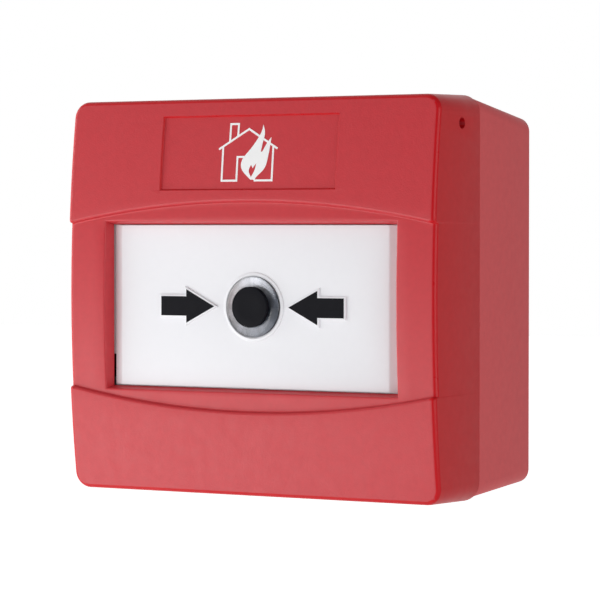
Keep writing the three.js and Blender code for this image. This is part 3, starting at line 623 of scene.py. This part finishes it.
class Skin:
    """A grid over the bezel's front or its inside, with a hole for the window."""

    def __init__(self, half_x, half_z, corner, window_x, window_z, arc, depth):
        self.half_x, self.half_z, self.corner = half_x, half_z, corner
        self.window_x, self.window_z, self.arc, self.depth = window_x, window_z, arc, depth
        stops = [0.0, *RECESS_COLUMNS, window_x]
        right = spaced(stops, 3.0) + spaced([window_x, half_x - corner], 3.2)[1:]
        right = right[:RIGHT_COLUMNS] + corner_places(half_x, corner)
        self.columns = [-x for x in reversed(right[1:])] + right
        self.rows = self.make_rows()

    def make_rows(self):
        """Row functions from top to bottom: each gives (z, inset kind) at an x."""
        rows = []
        top_levels = corner_places(self.half_z, self.corner)[::-1]
        levels = top_levels + [
            *[RECESS_TOP - step for step in RIM_STEPS], 37.5, 34.0, 30.5, 27.0,
            *[RECESS_BOTTOM + step for step in reversed(RIM_STEPS)],
        ]
        rows += [level_row(z) for z in levels]
        profile = step_profile()
        first = self.arc_row(1, *profile[0])
        rows += between(rows[-1], first, 2, "band")
        rows += [self.arc_row(1, *point) for point in profile]
        window_top = self.window_row(1)
        rows += between(rows[-1], window_top, 3, "eye")
        self.window_start = len(rows)
        rows.append(window_top)
        window_bottom = self.window_row(-1)
        rows += between(window_top, window_bottom, 13, "eye")
        self.window_end = len(rows)
        rows.append(window_bottom)
        lower = [self.arc_row(-1, *point) for point in reversed(profile)]
        rows += between(window_bottom, lower[0], 3, "eye")
        rows += lower
        bottom = level_row(-34.0)
        rows += between(lower[-1], bottom, 2, "band")
        rows += [bottom, level_row(-37.5)]
        rows += [level_row(-z) for z in corner_places(self.half_z, self.corner)]
        return rows

    def arc_row(self, side, outside, inset):
        return lambda x: (EYE_Z + side * (self.arc(x) + outside), inset)

    def window_row(self, side):
        """Level beside the window, then drawn in towards the sides to stay inside the arc."""
        def row(x):
            beyond = (abs(x) - self.window_x - 0.5) / (self.half_x - self.window_x - 0.5)
            share = min(max(beyond, 0.0), 1.0)
            share = share * share * (3 - 2 * share)
            half = self.window_z + (self.arc(x) - 2.4 - self.window_z) * share
            return EYE_Z + side * half, "eye"
        return row

    def point(self, row, column):
        x = self.columns[column]
        z, kind = self.rows[row](x)
        x, z = self.round_corner(x, z)
        return x, self.depth(x, z, kind), z

    def round_corner(self, x, z):
        """Maps the square corner of the grid to a quarter disc."""
        inner_x, inner_z = self.half_x - self.corner, self.half_z - self.corner
        u, v = (abs(x) - inner_x) / self.corner, (abs(z) - inner_z) / self.corner
        if u <= 0 or v <= 0:
            return x, z
        round_x = inner_x + self.corner * u * math.sqrt(1 - v * v / 2)
        round_z = inner_z + self.corner * v * math.sqrt(1 - u * u / 2)
        return math.copysign(round_x, x), math.copysign(round_z, z)

    def build(self, maker):
        """Adds the grid; returns its outer ring and its window ring, in the same turning sense."""
        rows, columns = len(self.rows), len(self.columns)
        left = min(i for i, x in enumerate(self.columns) if x >= -self.window_x - 1e-6)
        right = columns - 1 - left
        top, bottom = self.window_start, self.window_end
        hidden = {(r, c) for r in range(top + 1, bottom) for c in range(left + 1, right)}
        grid = {
            (r, c): maker.verts.new(self.point(r, c))
            for r in range(rows) for c in range(columns) if (r, c) not in hidden
        }
        for r in range(rows - 1):
            for c in range(columns - 1):
                if top <= r < bottom and left <= c < right:
                    continue
                corners = [(r, c), (r, c + 1), (r + 1, c + 1), (r + 1, c)]
                maker.faces.new([grid[k] for k in corners])
        outer = ring_keys(0, rows - 1, 0, columns - 1)
        window = ring_keys(top, bottom, left, right)
        return [grid[k] for k in outer], [grid[k] for k in window]


def corner_places(half, corner, steps=6):
    """Grid places across a corner zone, from its inner edge to the outline."""
    return [half - corner + corner * math.sin(math.pi / 2 * i / steps) for i in range(steps + 1)]


def ring_keys(top, bottom, left, right):
    keys = [(top, c) for c in range(left, right)]
    keys += [(r, right) for r in range(top, bottom)]
    keys += [(bottom, c) for c in range(right, left, -1)]
    keys += [(r, left) for r in range(bottom, top, -1)]
    return keys


def level_row(z):
    return lambda x: (z, "band")


def between(first, second, count, kind):
    """Rows evenly between two others."""
    def row(share):
        return lambda x: (first(x)[0] + (second(x)[0] - first(x)[0]) * share, kind)
    return [row((i + 1) / (count + 1)) for i in range(count)]


def outside_depth(x, z, kind):
    if kind == "band":
        return front_y(z, recess_inset(x, z))
    return front_y(z, EYE_INSET if kind == "eye" else kind)


def inside_depth(x, z, kind):
    return front_y(z, FRONT_THICKNESS)


def outline_at(vertex, half_x, half_z, corner, new_x, new_z, new_corner, y):
    """Where a vertex on one rounded rectangle goes on another."""
    x, z = vertex.co.x, vertex.co.z
    straight_x, straight_z = half_x - corner, half_z - corner
    along_x = min(max(x, -straight_x), straight_x)
    along_z = min(max(z, -straight_z), straight_z)
    out = Vector((x - along_x, 0, z - along_z)).normalized()
    centre = Vector((
        along_x * (new_x - new_corner) / straight_x, y,
        along_z * (new_z - new_corner) / straight_z,
    ))
    return centre + out * new_corner


def make_bezel():
    maker = bmesh.new()
    half_x, half_z = FRONT_HALF_X - EDGE_RADIUS, FRONT_HALF_Z - EDGE_RADIUS
    corner = FRONT_CORNER - EDGE_RADIUS
    outside = Skin(half_x, half_z, corner, WINDOW_HALF_X + LIP_ROUND,
                   WINDOW_HALF_Z + LIP_ROUND, eye_arc, outside_depth)
    inner_draft = 1.0
    inner_x, inner_z = WIDTH / 2 - BEZEL_WALL - inner_draft, HEIGHT / 2 - BEZEL_WALL - 0.2
    inside = Skin(inner_x, inner_z, INNER_CORNER, WINDOW_HALF_X + WINDOW_FRAME,
                  WINDOW_HALF_Z + WINDOW_FRAME, lambda x: 25.2, inside_depth)
    outer_ring, window_ring = outside.build(maker)
    inner_ring, inner_window = inside.build(maker)

    def outline_ring(*place, sink=None, y=None):
        return [maker.verts.new(outline_at(
            v, half_x, half_z, corner, *place, v.co.y + sink if y is None else y,
        )) for v in outer_ring]

    rings = [outer_ring]
    steps = 7
    for step in range(1, steps + 1):
        angle = math.pi / 2 * step / steps
        grow = EDGE_RADIUS * math.sin(angle)
        sink = EDGE_RADIUS * (1 - math.cos(angle))
        rings.append(outline_ring(half_x + grow, half_z + grow, corner + grow, sink=sink))
    rear = [(0.0, -BOX_DEPTH - REAR_ROUND), (0.13, -BOX_DEPTH - 0.13), (REAR_ROUND, -BOX_DEPTH)]
    for inset, y in rear:
        rings.append(outline_ring(WIDTH / 2 - inset, HEIGHT / 2 - inset, REAR_CORNER - inset, y=y))
    rings.append(outline_ring(WIDTH / 2 - BEZEL_WALL, HEIGHT / 2 - BEZEL_WALL, INNER_CORNER,
                              y=-BOX_DEPTH))
    rings.append(inner_ring)
    bridge(maker, rings)

    def window_loop(window_half_x, window_half_z, y_of):
        scale_x = window_half_x / (WINDOW_HALF_X + LIP_ROUND)
        scale_z = window_half_z / (WINDOW_HALF_Z + LIP_ROUND)
        return [maker.verts.new((
            v.co.x * scale_x, y_of(v.co.y), EYE_Z + (v.co.z - EYE_Z) * scale_z,
        )) for v in window_ring]

    rings = [window_ring]
    for degrees in (22, 45, 67, 85):
        angle = math.radians(degrees)
        left = LIP_ROUND * (1 - math.sin(angle))
        sink = LIP_ROUND * (1 - math.cos(angle))
        rings.append(window_loop(WINDOW_HALF_X + left, WINDOW_HALF_Z + left,
                                 lambda y, sink=sink: y + sink))
    foot_x, foot_z = WINDOW_HALF_X - WINDOW_DRAFT, WINDOW_HALF_Z - WINDOW_DRAFT
    rings.append(window_loop(foot_x, foot_z, lambda y: WINDOW_FOOT - 0.12))
    rings.append(window_loop(foot_x + 0.12, foot_z + 0.12, lambda y: WINDOW_FOOT))
    rings.append(window_loop(WINDOW_HALF_X + WINDOW_FRAME, WINDOW_HALF_Z + WINDOW_FRAME,
                             lambda y: WINDOW_FOOT))
    rings.append(inner_window)
    bridge(maker, rings)

    finishes = [MATERIALS[name] for name in ("band", "eye", "edge", "side")]
    bezel = new_object("bezel_shell", maker, finishes)
    combine(bezel, snap_tabs(), "UNION")
    holes = [
        tool(rod((1, 0, 0), SIDE_HOLE.radius, -60, 60,
                 (0, SIDE_HOLE.y, SIDE_HOLE.z), 40)),
        tool(rod((0, 0, 1), KEY_HOLE.radius, KEY_HOLE.low, KEY_HOLE.high,
                 (KEY_HOLE.x, KEY_HOLE.y, 0), 40)),
    ]
    combine(bezel, holes, "DIFFERENCE")
    smooth(bezel, 32)
    return bezel


def snap_tabs():
    """The tabs that hold the bezel in the back box's lip."""
    tools = []
    half = TAB.half_x
    for side, outer in TAB.tops:
        inner = outer - TAB.thickness
        for x in (-TAB.x, TAB.x):
            for reach, front, back in ((TAB.reach, -34.5, -30.8), (outer, -34.4, -24.0)):
                low, high = sorted((side * inner, side * reach))
                tools.append(tool(block((x - half, front, low), (x + half, back, high))))
    return tools


STEEP, FLAT = 0.3, 0.97          # how far a face looks forward: side walls below, front above
RIM_REACH = 0.3


def paint_bezel(bezel):
    """Textured bands, a smoother middle zone and sides, and glossy outer edges and recess rim in the
    edge red, which is painted shade.
    """
    band, smooth_red, edge, side = range(4)
    edge_x, edge_z = FRONT_HALF_X - EDGE_RADIUS, FRONT_HALF_Z - EDGE_RADIUS
    for face in bezel.data.polygons:
        x, y, z = (c / MM for c in face.center)
        facing = -face.normal.y
        on_rim = abs(x) > edge_x - RIM_REACH or abs(z) > edge_z - RIM_REACH
        on_recess_rim = 0 < recess_margin(x, z) < RECESS_RIM
        # Outer edges and the rear rim take the edge red: painted shade.
        if on_rim and (STEEP < facing < FLAT or y > -BOX_DEPTH - REAR_ROUND):
            face.material_index = edge
        # The recess rim takes the edge red too: painted shade along the rim.
        elif on_recess_rim and facing > STEEP:
            face.material_index = edge
        elif on_rim and facing <= STEEP:
            face.material_index = side
        elif facing < STEEP or abs(z - EYE_Z) < eye_arc(min(abs(x), WIDTH / 2)):
            face.material_index = smooth_red
        else:
            face.material_index = band


# ---------- symbol of a house on fire

SYMBOL = Group(x=-0.22, squash=0.983, stroke=0.46, eave_x=7.65, eave_z=33.4,
               apex=37.95, wall_x=6.55, base=26.2, door_x=-2.65, lintel=31.6)
INK_RISE = 0.05


def stroke(points, width):
    """The outline of a mitred line of even width through points in X and Z."""
    points = [Vector(p) for p in points]
    left, right = [], []
    for i, here in enumerate(points):
        before = (here - points[i - 1]).normalized() if i else None
        after = (points[i + 1] - here).normalized() if i < len(points) - 1 else None
        first, second = before or after, after or before
        normals = [Vector((-d.y, d.x)) for d in (first, second)]
        mitre = (normals[0] + normals[1]) / (1 + normals[0].dot(normals[1])) * width / 2
        left.append(tuple(here + mitre))
        right.append(tuple(here - mitre))
    return left + right[::-1]


def curve(points, steps=6):
    """A smooth run through points, sharp only at its two ends, without its last point."""
    points = [Vector(p) for p in points]
    padded = [points[0]] + points + [points[-1]]
    run = []
    for a, b, c, d in zip(padded, padded[1:], padded[2:], padded[3:]):
        for step in range(steps):
            t = step / steps
            place = 2 * b + (c - a) * t + (2 * a - 5 * b + 4 * c - d) * t * t
            run.append(tuple((place + (3 * b - a - 3 * c + d) * t ** 3) / 2))
    return run


def flame_outlines():
    """A two-tongued flame and the smaller opening inside it."""
    tall_tip, short_tip, notch = (3.65, 38.9), (5.9, 36.0), (3.35, 32.75)
    outer = curve([tall_tip, (3.1, 36.9), (1.1, 33.9), (-1.35, 31.0), (-1.35, 28.7), (1.0, 26.4)])
    outer += curve([(1.0, 26.4), (1.75, 26.35), (2.0, 26.0)], 2)
    outer += curve([(2.0, 26.0), (2.5, 27.0), (4.6, 29.1), (5.45, 32.4), short_tip])
    outer += curve([short_tip, (5.0, 34.9), (3.75, 32.75)], 4)
    outer += curve([(3.75, 32.75), notch], 1)
    outer += curve([notch, (3.75, 34.9), (4.15, 37.0), tall_tip])
    low, left_tip, dip, right_tip = (1.1, 26.95), (1.0, 29.8), (1.45, 29.0), (2.35, 30.2)
    inner = curve([low, (0.45, 28.4), left_tip]) + curve([left_tip, dip], 1)
    inner += curve([dip, right_tip], 1) + curve([right_tip, (2.0, 28.6), low])
    return outer, inner


def slab(outline, low=0.0, high=1.0):
    """An outline in X and Z given a thickness along Y."""
    return loft([[(x, low, z) for x, z in outline], [(x, high, z) for x, z in outline]])


def make_symbol():
    """White ink that follows the recess's curved floor."""
    s, width = SYMBOL, SYMBOL.stroke
    wall, eave, base = s.wall_x, s.eave_z, s.base
    under_roof = eave + 0.55
    paths = [
        [(-s.eave_x, eave), (0, s.apex), (s.eave_x, eave)],
        [(-wall, under_roof), (-wall, base), (s.door_x, base), (s.door_x, s.lintel),
         (-0.9, s.lintel)],
        [(wall, under_roof), (wall, base), (1.9, base)],
        [(-4.85, 35.0), (-4.85, 39.15), (-2.8, 39.15), (-2.8, 36.2)],
    ]
    outer, inner = flame_outlines()
    flame = combine(tool(slab(outer)), [tool(slab(inner, -0.5, 1.5))], "DIFFERENCE")
    strokes = [tool(slab(stroke(path, width))) for path in paths]
    symbol = combine(flame, strokes, "UNION")
    symbol.name = symbol.data.name = "symbol"
    maker = bmesh.new()
    maker.from_mesh(symbol.data)
    for z in range(int(base), int(RECESS_TOP)):
        geometry = maker.verts[:] + maker.edges[:] + maker.faces[:]
        bmesh.ops.bisect_plane(maker, geom=geometry, plane_co=(0, 0, z * MM), plane_no=(0, 0, 1))
    for vertex in maker.verts:
        vertex.co.x += s.x * MM
        vertex.co.z = (base + (vertex.co.z / MM - base) * s.squash) * MM
        floor = front_y(vertex.co.z / MM, RECESS_DEPTH)
        vertex.co.y = (floor - INK_RISE if vertex.co.y < 0.5 * MM else floor + INK_RISE) * MM
    bmesh.ops.triangulate(maker, faces=maker.faces[:])
    bmesh.ops.recalc_face_normals(maker, faces=maker.faces[:])
    maker.to_mesh(symbol.data)
    maker.free()
    symbol.data.shade_flat()
    symbol.data.materials.append(MATERIALS["ink"])
    return symbol


# ---------- back box

BOX = Group(rim_x=48.8, rim_top=44.45, rim_bottom=-44.3, wall_x=47.4, wall_top=40.85,
            wall_bottom=-42.95, wall=2.6, floor=2.5, corner=3.2)
LIP = Group(x=46.4, top=41.95, bottom=-41.9, wall=1.2, front=-30.5, rear=-25.0)
POST = Group(x=40.5, z=31.0, radius=3.2, pilot=1.25, front=-34.0)
CABLE_HOLE = Group(radius=9.0, z=20.0)
SLOT = Group(x=30.15, half_x=4.5, half_z=2.2)
KNOCK_OUT = Group(radius=10.0, half_width=0.4, depth=0.9)


def box_loop(inset, depth, corner):
    """The box's outline at a depth in front of the wall, less an inset."""
    t = depth / BOX_DEPTH
    half = BOX.wall_x + (BOX.rim_x - BOX.wall_x) * t - inset
    top = BOX.wall_top + (BOX.rim_top - BOX.wall_top) * t - inset
    bottom = BOX.wall_bottom + (BOX.rim_bottom - BOX.wall_bottom) * t + inset
    return rounded_loop(-half, half, bottom, top, corner, -depth)


def lip_loop(inset, y):
    return rounded_loop(-LIP.x + inset, LIP.x - inset, LIP.bottom + inset,
                        LIP.top - inset, 1.4 - inset * 0.6, y)


def make_back_box():
    corner, wall, floor = BOX.corner, BOX.wall, BOX.floor
    inner = corner - wall + 0.6
    rim = BOX_DEPTH
    loops = [
        box_loop(0.12, 0.0, corner - 0.12), box_loop(0.0, 0.12, corner),
        box_loop(0.0, rim - 0.3, corner), box_loop(0.09, rim - 0.09, corner - 0.09),
        box_loop(0.3, rim, corner - 0.3),
        lip_loop(0.0, -rim), lip_loop(0.0, LIP.front + 0.2), lip_loop(0.2, LIP.front),
        lip_loop(LIP.wall - 0.2, LIP.front), lip_loop(LIP.wall, LIP.front + 0.2),
        lip_loop(LIP.wall, LIP.rear),
        box_loop(wall, -LIP.rear, inner), box_loop(wall, floor + 0.6, inner),
        box_loop(wall + 0.2, floor + 0.2, inner), box_loop(wall + 0.6, floor, inner * 0.7),
    ]
    box = new_object("box_shell", loft(loops), [MATERIALS["box"]])
    posts, cuts = [], []
    for x in (-POST.x, POST.x):
        side = math.copysign(1, x)
        for z in (-POST.z, POST.z):
            posts.append(tool(turned([(POST.radius, -floor / 2), (POST.radius, POST.front)],
                                     x, z, 40)))
            web_x = sorted((x, side * (LIP.x - 0.4)))
            posts.append(tool(block((web_x[0], LIP.rear, z - 0.8), (web_x[1], -floor / 2, z + 0.8))))
            cuts.append(tool(turned([(POST.pilot, -20.0), (POST.pilot, -36.0)], x, z, 24)))
    for x in (-SLOT.x, SLOT.x):
        slot = [rounded_loop(x - SLOT.half_x, x + SLOT.half_x, -SLOT.half_z, SLOT.half_z,
                             SLOT.half_z - 0.01, y) for y in (1.0, -floor - 1)]
        cuts.append(tool(loft(slot)))
    cable = [(CABLE_HOLE.radius, 1.0), (CABLE_HOLE.radius, -floor - 1)]
    cuts.append(tool(turned(cable, 0, CABLE_HOLE.z)))
    cuts += [tool(knock_out("top")), tool(knock_out("bottom"))]
    combine(box, posts, "UNION")
    combine(box, cuts, "DIFFERENCE")
    smooth(box, 32)
    return box


def knock_out(side):
    """A scored ring for a conduit entry in the top or bottom wall, along the wall's slope."""
    rim, foot = getattr(BOX, "rim_" + side), getattr(BOX, "wall_" + side)
    tilt = -math.atan((rim - foot) / BOX_DEPTH)
    half, depth = KNOCK_OUT.half_width, KNOCK_OUT.depth
    maker = annulus([
        (KNOCK_OUT.radius - half, -depth), (KNOCK_OUT.radius + half, -depth),
        (KNOCK_OUT.radius + half, depth), (KNOCK_OUT.radius - half, depth),
    ])
    turn = Matrix.Rotation(math.pi / 2 + tilt, 4, "X")
    place = Matrix.Translation((0, -BOX_DEPTH / 2, (rim + foot) / 2))
    bmesh.ops.transform(maker, matrix=place @ turn, verts=maker.verts)
    return maker


def annulus(profile, cx=0.0, cz=0.0, steps=96):
    """A ring about Y whose section is a closed (radius, y) outline."""
    maker = bmesh.new()
    rings = [[maker.verts.new(p) for p in circle_loop(cx, cz, radius, y, steps)]
             for radius, y in profile]
    bridge(maker, rings + rings[:1])
    return maker


# ---------- operating plate and button

PLATE = Group(front=-44.6, flange_front=-43.6, back=-41.0, panel_x=35.1, bevel_x=37.2,
              bevel_y=-43.75, top=16.2, bottom=-20.38, flange_x=39.5, flange_top=18.3,
              flange_bottom=-23.4, notch=-13.5)
HINGE = Group(y=-39.3, z=-20.5, radius=1.5, pin=(35.5, 42.4))
EAR = Group(x=(35.0, 37.0), half=2.0, wrap=0.3)
COLLAR = [(7.05, -0.5), (7.05, 0.22), (7.13, 0.3), (7.55, 0.3), (7.7, 0.24), (7.8, 0.05),
          (7.95, -0.5)]          # (radius, height above the panel)
STEM_HOLE = 3.3
SPRING_SEAT = Group(x=22.0, z=6.0, radius=1.85)


def arrow_outline(side, border=0.0):
    """An arrow that points to the middle, grown by a border, as anticlockwise (x, z) points."""
    tail, neck, tip = ARROW.tail, ARROW.neck, ARROW.tip
    shaft, head = ARROW.shaft, ARROW.head
    corners = [(tail, -shaft), (tail, shaft), (neck, shaft), (neck, head), (tip, 0),
               (neck, -head), (neck, -shaft)]
    placed = [(side * x, EYE_Z + z) for x, z in corners]
    if side < 0:
        placed.reverse()
    return inset_polygon(placed, -border) if border else placed


def panel():
    """The plate's raised panel: one section with bevelled sides, run from bottom to top."""
    p = PLATE
    soft = 0.3
    section = [
        (-p.bevel_x, p.flange_front + 0.5), (-p.bevel_x, p.bevel_y + 0.1),
        (-p.bevel_x + 0.12, p.bevel_y - 0.1),
        (-p.panel_x - soft, p.front + soft * 0.6), (-p.panel_x, p.front + 0.05),
        (-p.panel_x + soft, p.front),
    ]
    section += [(-x, y) for x, y in reversed(section)]
    return loft([[(x, y, z) for x, y in section] for z in (p.bottom, p.top)])


def make_plate():
    p = PLATE
    flange = [
        (-p.bevel_x, p.flange_bottom), (p.flange_x, p.flange_bottom),
        (p.flange_x, p.flange_top), (-p.flange_x, p.flange_top),
        (-p.flange_x, p.notch), (-p.bevel_x, p.notch),
    ]
    plate = new_object("plate_shell", rounded_prism(flange, p.back, p.flange_front, 0.15),
                       [MATERIALS["white"]])
    parts = [tool(panel())]
    for side in (-1, 1):
        boss = rounded_prism(arrow_outline(side, ARROW.border), p.front + 0.5, BOSS_FRONT, 0.2)
        parts.append(tool(boss))
        low, high = sorted(side * x for x in EAR.x)
        ear_back = HINGE.y + HINGE.radius + EAR.wrap
        parts.append(tool(block((low, p.back - 0.5, HINGE.z - EAR.half),
                                (high, ear_back, HINGE.z + EAR.half))))
        pin = rod((1, 0, 0), HINGE.radius, *sorted(side * x for x in HINGE.pin),
                  (0, HINGE.y, HINGE.z))
        parts.append(tool(pin))
        parts.append(tool(turned([(SPRING_SEAT.radius, p.back - 0.5),
                                  (SPRING_SEAT.radius, p.back + 1.2)],
                                 side * SPRING_SEAT.x, SPRING_SEAT.z, 32)))
    front = p.front
    collar = [(radius, front - height) for radius, height in COLLAR]
    parts.append(tool(annulus(collar, BUTTON_X, EYE_Z)))
    combine(plate, parts, "UNION")
    hole = tool(turned([(STEM_HOLE, p.back + 1), (STEM_HOLE, front - 1)], BUTTON_X, EYE_Z))
    combine(plate, [hole], "DIFFERENCE")
    smooth(plate, 28)
    return plate


def make_arrow_print(side):
    """A thin black foil on the arrow's boss, just inside its edge."""
    name = "arrow_foil_left" if side < 0 else "arrow_foil_right"
    outline = arrow_outline(side)
    return new_object(name, rounded_prism(outline, BOSS_FRONT + 0.05, ARROW_FRONT, 0.03, 1),
                      [MATERIALS["print"]])


def make_ring():
    """The clear ring: a domed rim that falls away from the disc, hollow below."""
    front = PLATE.front
    outer, top_radius, top = RING_RADIUS, 4.65, RING_TOP
    profile = [(outer - 0.05, front - 0.08), (outer, front - 0.14), (outer, front - 0.42)]
    steps = 10
    for step in range(1, steps + 1):
        angle = math.pi / 2 * step / steps
        profile.append((top_radius + (outer - top_radius) * math.cos(angle),
                        front - 0.42 + (top + 0.42 - front) * math.sin(angle)))
    profile += [(3.4, top), (3.4, front - 0.08)]
    return new_object("ring_lens", annulus(profile, BUTTON_X, EYE_Z), [MATERIALS["ring"]], 40)


def make_ring_optics():
    """The grey optics on which the ring lies, with the stem that goes through the plate."""
    front = PLATE.front
    profile = [(0.4, -41.2), (2.9, -41.2), (3.0, -41.3), (3.0, front - 0.02), (6.8, front - 0.02),
               (6.8, front - 0.06), (3.3, front - 0.06), (3.3, RING_TOP + 0.05), (0.4, RING_TOP + 0.05)]
    return new_object("ring_optics", annulus(profile, BUTTON_X, EYE_Z), [MATERIALS["optics"]])


def make_disc():
    """The black disc, very slightly dished, with a rounded edge."""
    radius, back, front, edge = DISC_RADIUS, RING_TOP, DISC_FRONT, 0.2
    profile = [(radius - 0.05, back), (radius, back - 0.05), (radius, front + edge)]
    for step in range(1, 6):
        angle = math.pi / 2 * step / 5
        profile.append((radius - edge + edge * math.cos(angle), front + edge - edge * math.sin(angle)))
    profile += [(2.6, front + 0.05), (0.6, front + 0.08)]
    return new_object("disc_cap", turned(profile, BUTTON_X, EYE_Z, 96), [MATERIALS["disc"]])


# ---------- mechanism

def refined(node, material, edge=0.12, angle=35.0):
    """A copy of a CAD piece with its flat facets joined, its edges eased and its curves smooth."""
    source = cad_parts[node]
    piece = bpy.data.objects.new(node + "_shape", source.data.copy())
    show(piece)
    piece.data.materials.clear()
    piece.data.materials.append(material)
    dissolve = piece.modifiers.new("flatten", "DECIMATE")
    dissolve.decimate_type = "DISSOLVE"
    dissolve.angle_limit = math.radians(1.0)
    ease = piece.modifiers.new("ease", "BEVEL")
    ease.width = edge * MM
    ease.segments = 2
    ease.limit_method = "ANGLE"
    ease.angle_limit = math.radians(angle)
    bpy.context.view_layer.update()
    applied(piece)
    smooth(piece, angle)
    return piece


def place(piece, body, slot, *nodes):
    """Lets a piece ride on a body and stand for CAD nodes, which it hides; the slot is not used."""
    if nodes:
        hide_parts(*nodes)
    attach(piece, body)


def numbered(stem, count):
    return [stem + "_" + str(i + 1) for i in range(count)]


def dress_mechanism():
    """Eased copies of the mechanism's CAD pieces, each with its own finish."""
    case = [
        (["chassis"], "grey", "grey_plastic"),
        (["circuit_board"], "board", "board_green"),
        (["switch_body", "jumper_header"], "black", "black_plastic"),
        (["terminal_block_left", "terminal_block_right"], "terminal", "terminal_green"),
        (numbered("chassis_screw", 4) + numbered("board_screw", 2) + numbered("terminal_screw", 6),
         "screw", "screw_steel"),
        (["indicator_led"], "led", "led_red"),
        (["light_pipe"], "pipe", "clear_plastic"),
    ]
    for nodes, finish, slot in case:
        for node in nodes:
            place(refined(node, MATERIALS[finish], 0.08), "case", slot, node)
    red, violet, brown, gold, orange = (
        linear(190, 30, 30), linear(110, 50, 130), linear(96, 56, 30), linear(196, 156, 60),
        linear(226, 110, 20),
    )
    bands = {
        "resistor_alarm": [(-2.2, red), (-1.2, violet), (-0.2, brown), (2.0, gold)],
        "resistor_end_of_line": [(-2.2, orange), (-1.2, violet), (-0.2, red), (2.0, gold)],
    }
    for node, colours in bands.items():
        low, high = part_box(node)
        material = resistor_material((low.x + high.x) / 2 / MM, colours)
        place(refined(node, material, 0.05), "case", "resistor_body", node)
    moving = [                   # node, finish, eased edge, body, slot
        ("switch_lever", "spring", 0.05, "lever", "spring_steel"),
        ("switch_plunger", "yellow", 0.05, "plunger", "yellow_plastic"),
        ("alarm_flag", "yellow", 0.15, "flag", "yellow_plastic"),
        ("reset_barrel", "grey", 0.12, "barrel", "grey_plastic"),
    ]
    for node, finish, edge, body, slot in moving:
        place(refined(node, MATERIALS[finish], edge), body, slot, node)
    for node in ("plate_spring_left", "plate_spring_right"):
        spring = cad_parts[node]
        if not spring.material_slots:
            spring.data.materials.append(MATERIALS["spring"])
        spring.material_slots[0].material = MATERIALS["spring"]


# ---------- build

bpy.context.scene.view_settings.view_transform = "Standard"
make_camera()
make_world()
make_floor()
for softbox in SOFTBOXES:
    make_softbox(*softbox)

bezel = make_bezel()
paint_bezel(bezel)
place(bezel, "bezel", "bezel_red", "front_bezel")
place(make_symbol(), "bezel", "white_plastic")
place(make_back_box(), "case", "box_red", "back_box")
place(make_plate(), "plate", "white_plastic", "operating_plate")
place(make_arrow_print(-1), "plate", "black_print", "arrow_left")
place(make_arrow_print(1), "plate", "black_print", "arrow_right")
place(make_ring(), "plate", "clear_plastic", "light_ring")
place(make_ring_optics(), "plate", "grey_plastic")
place(make_disc(), "plate", "black_plastic", "button_disc")
dress_mechanism()
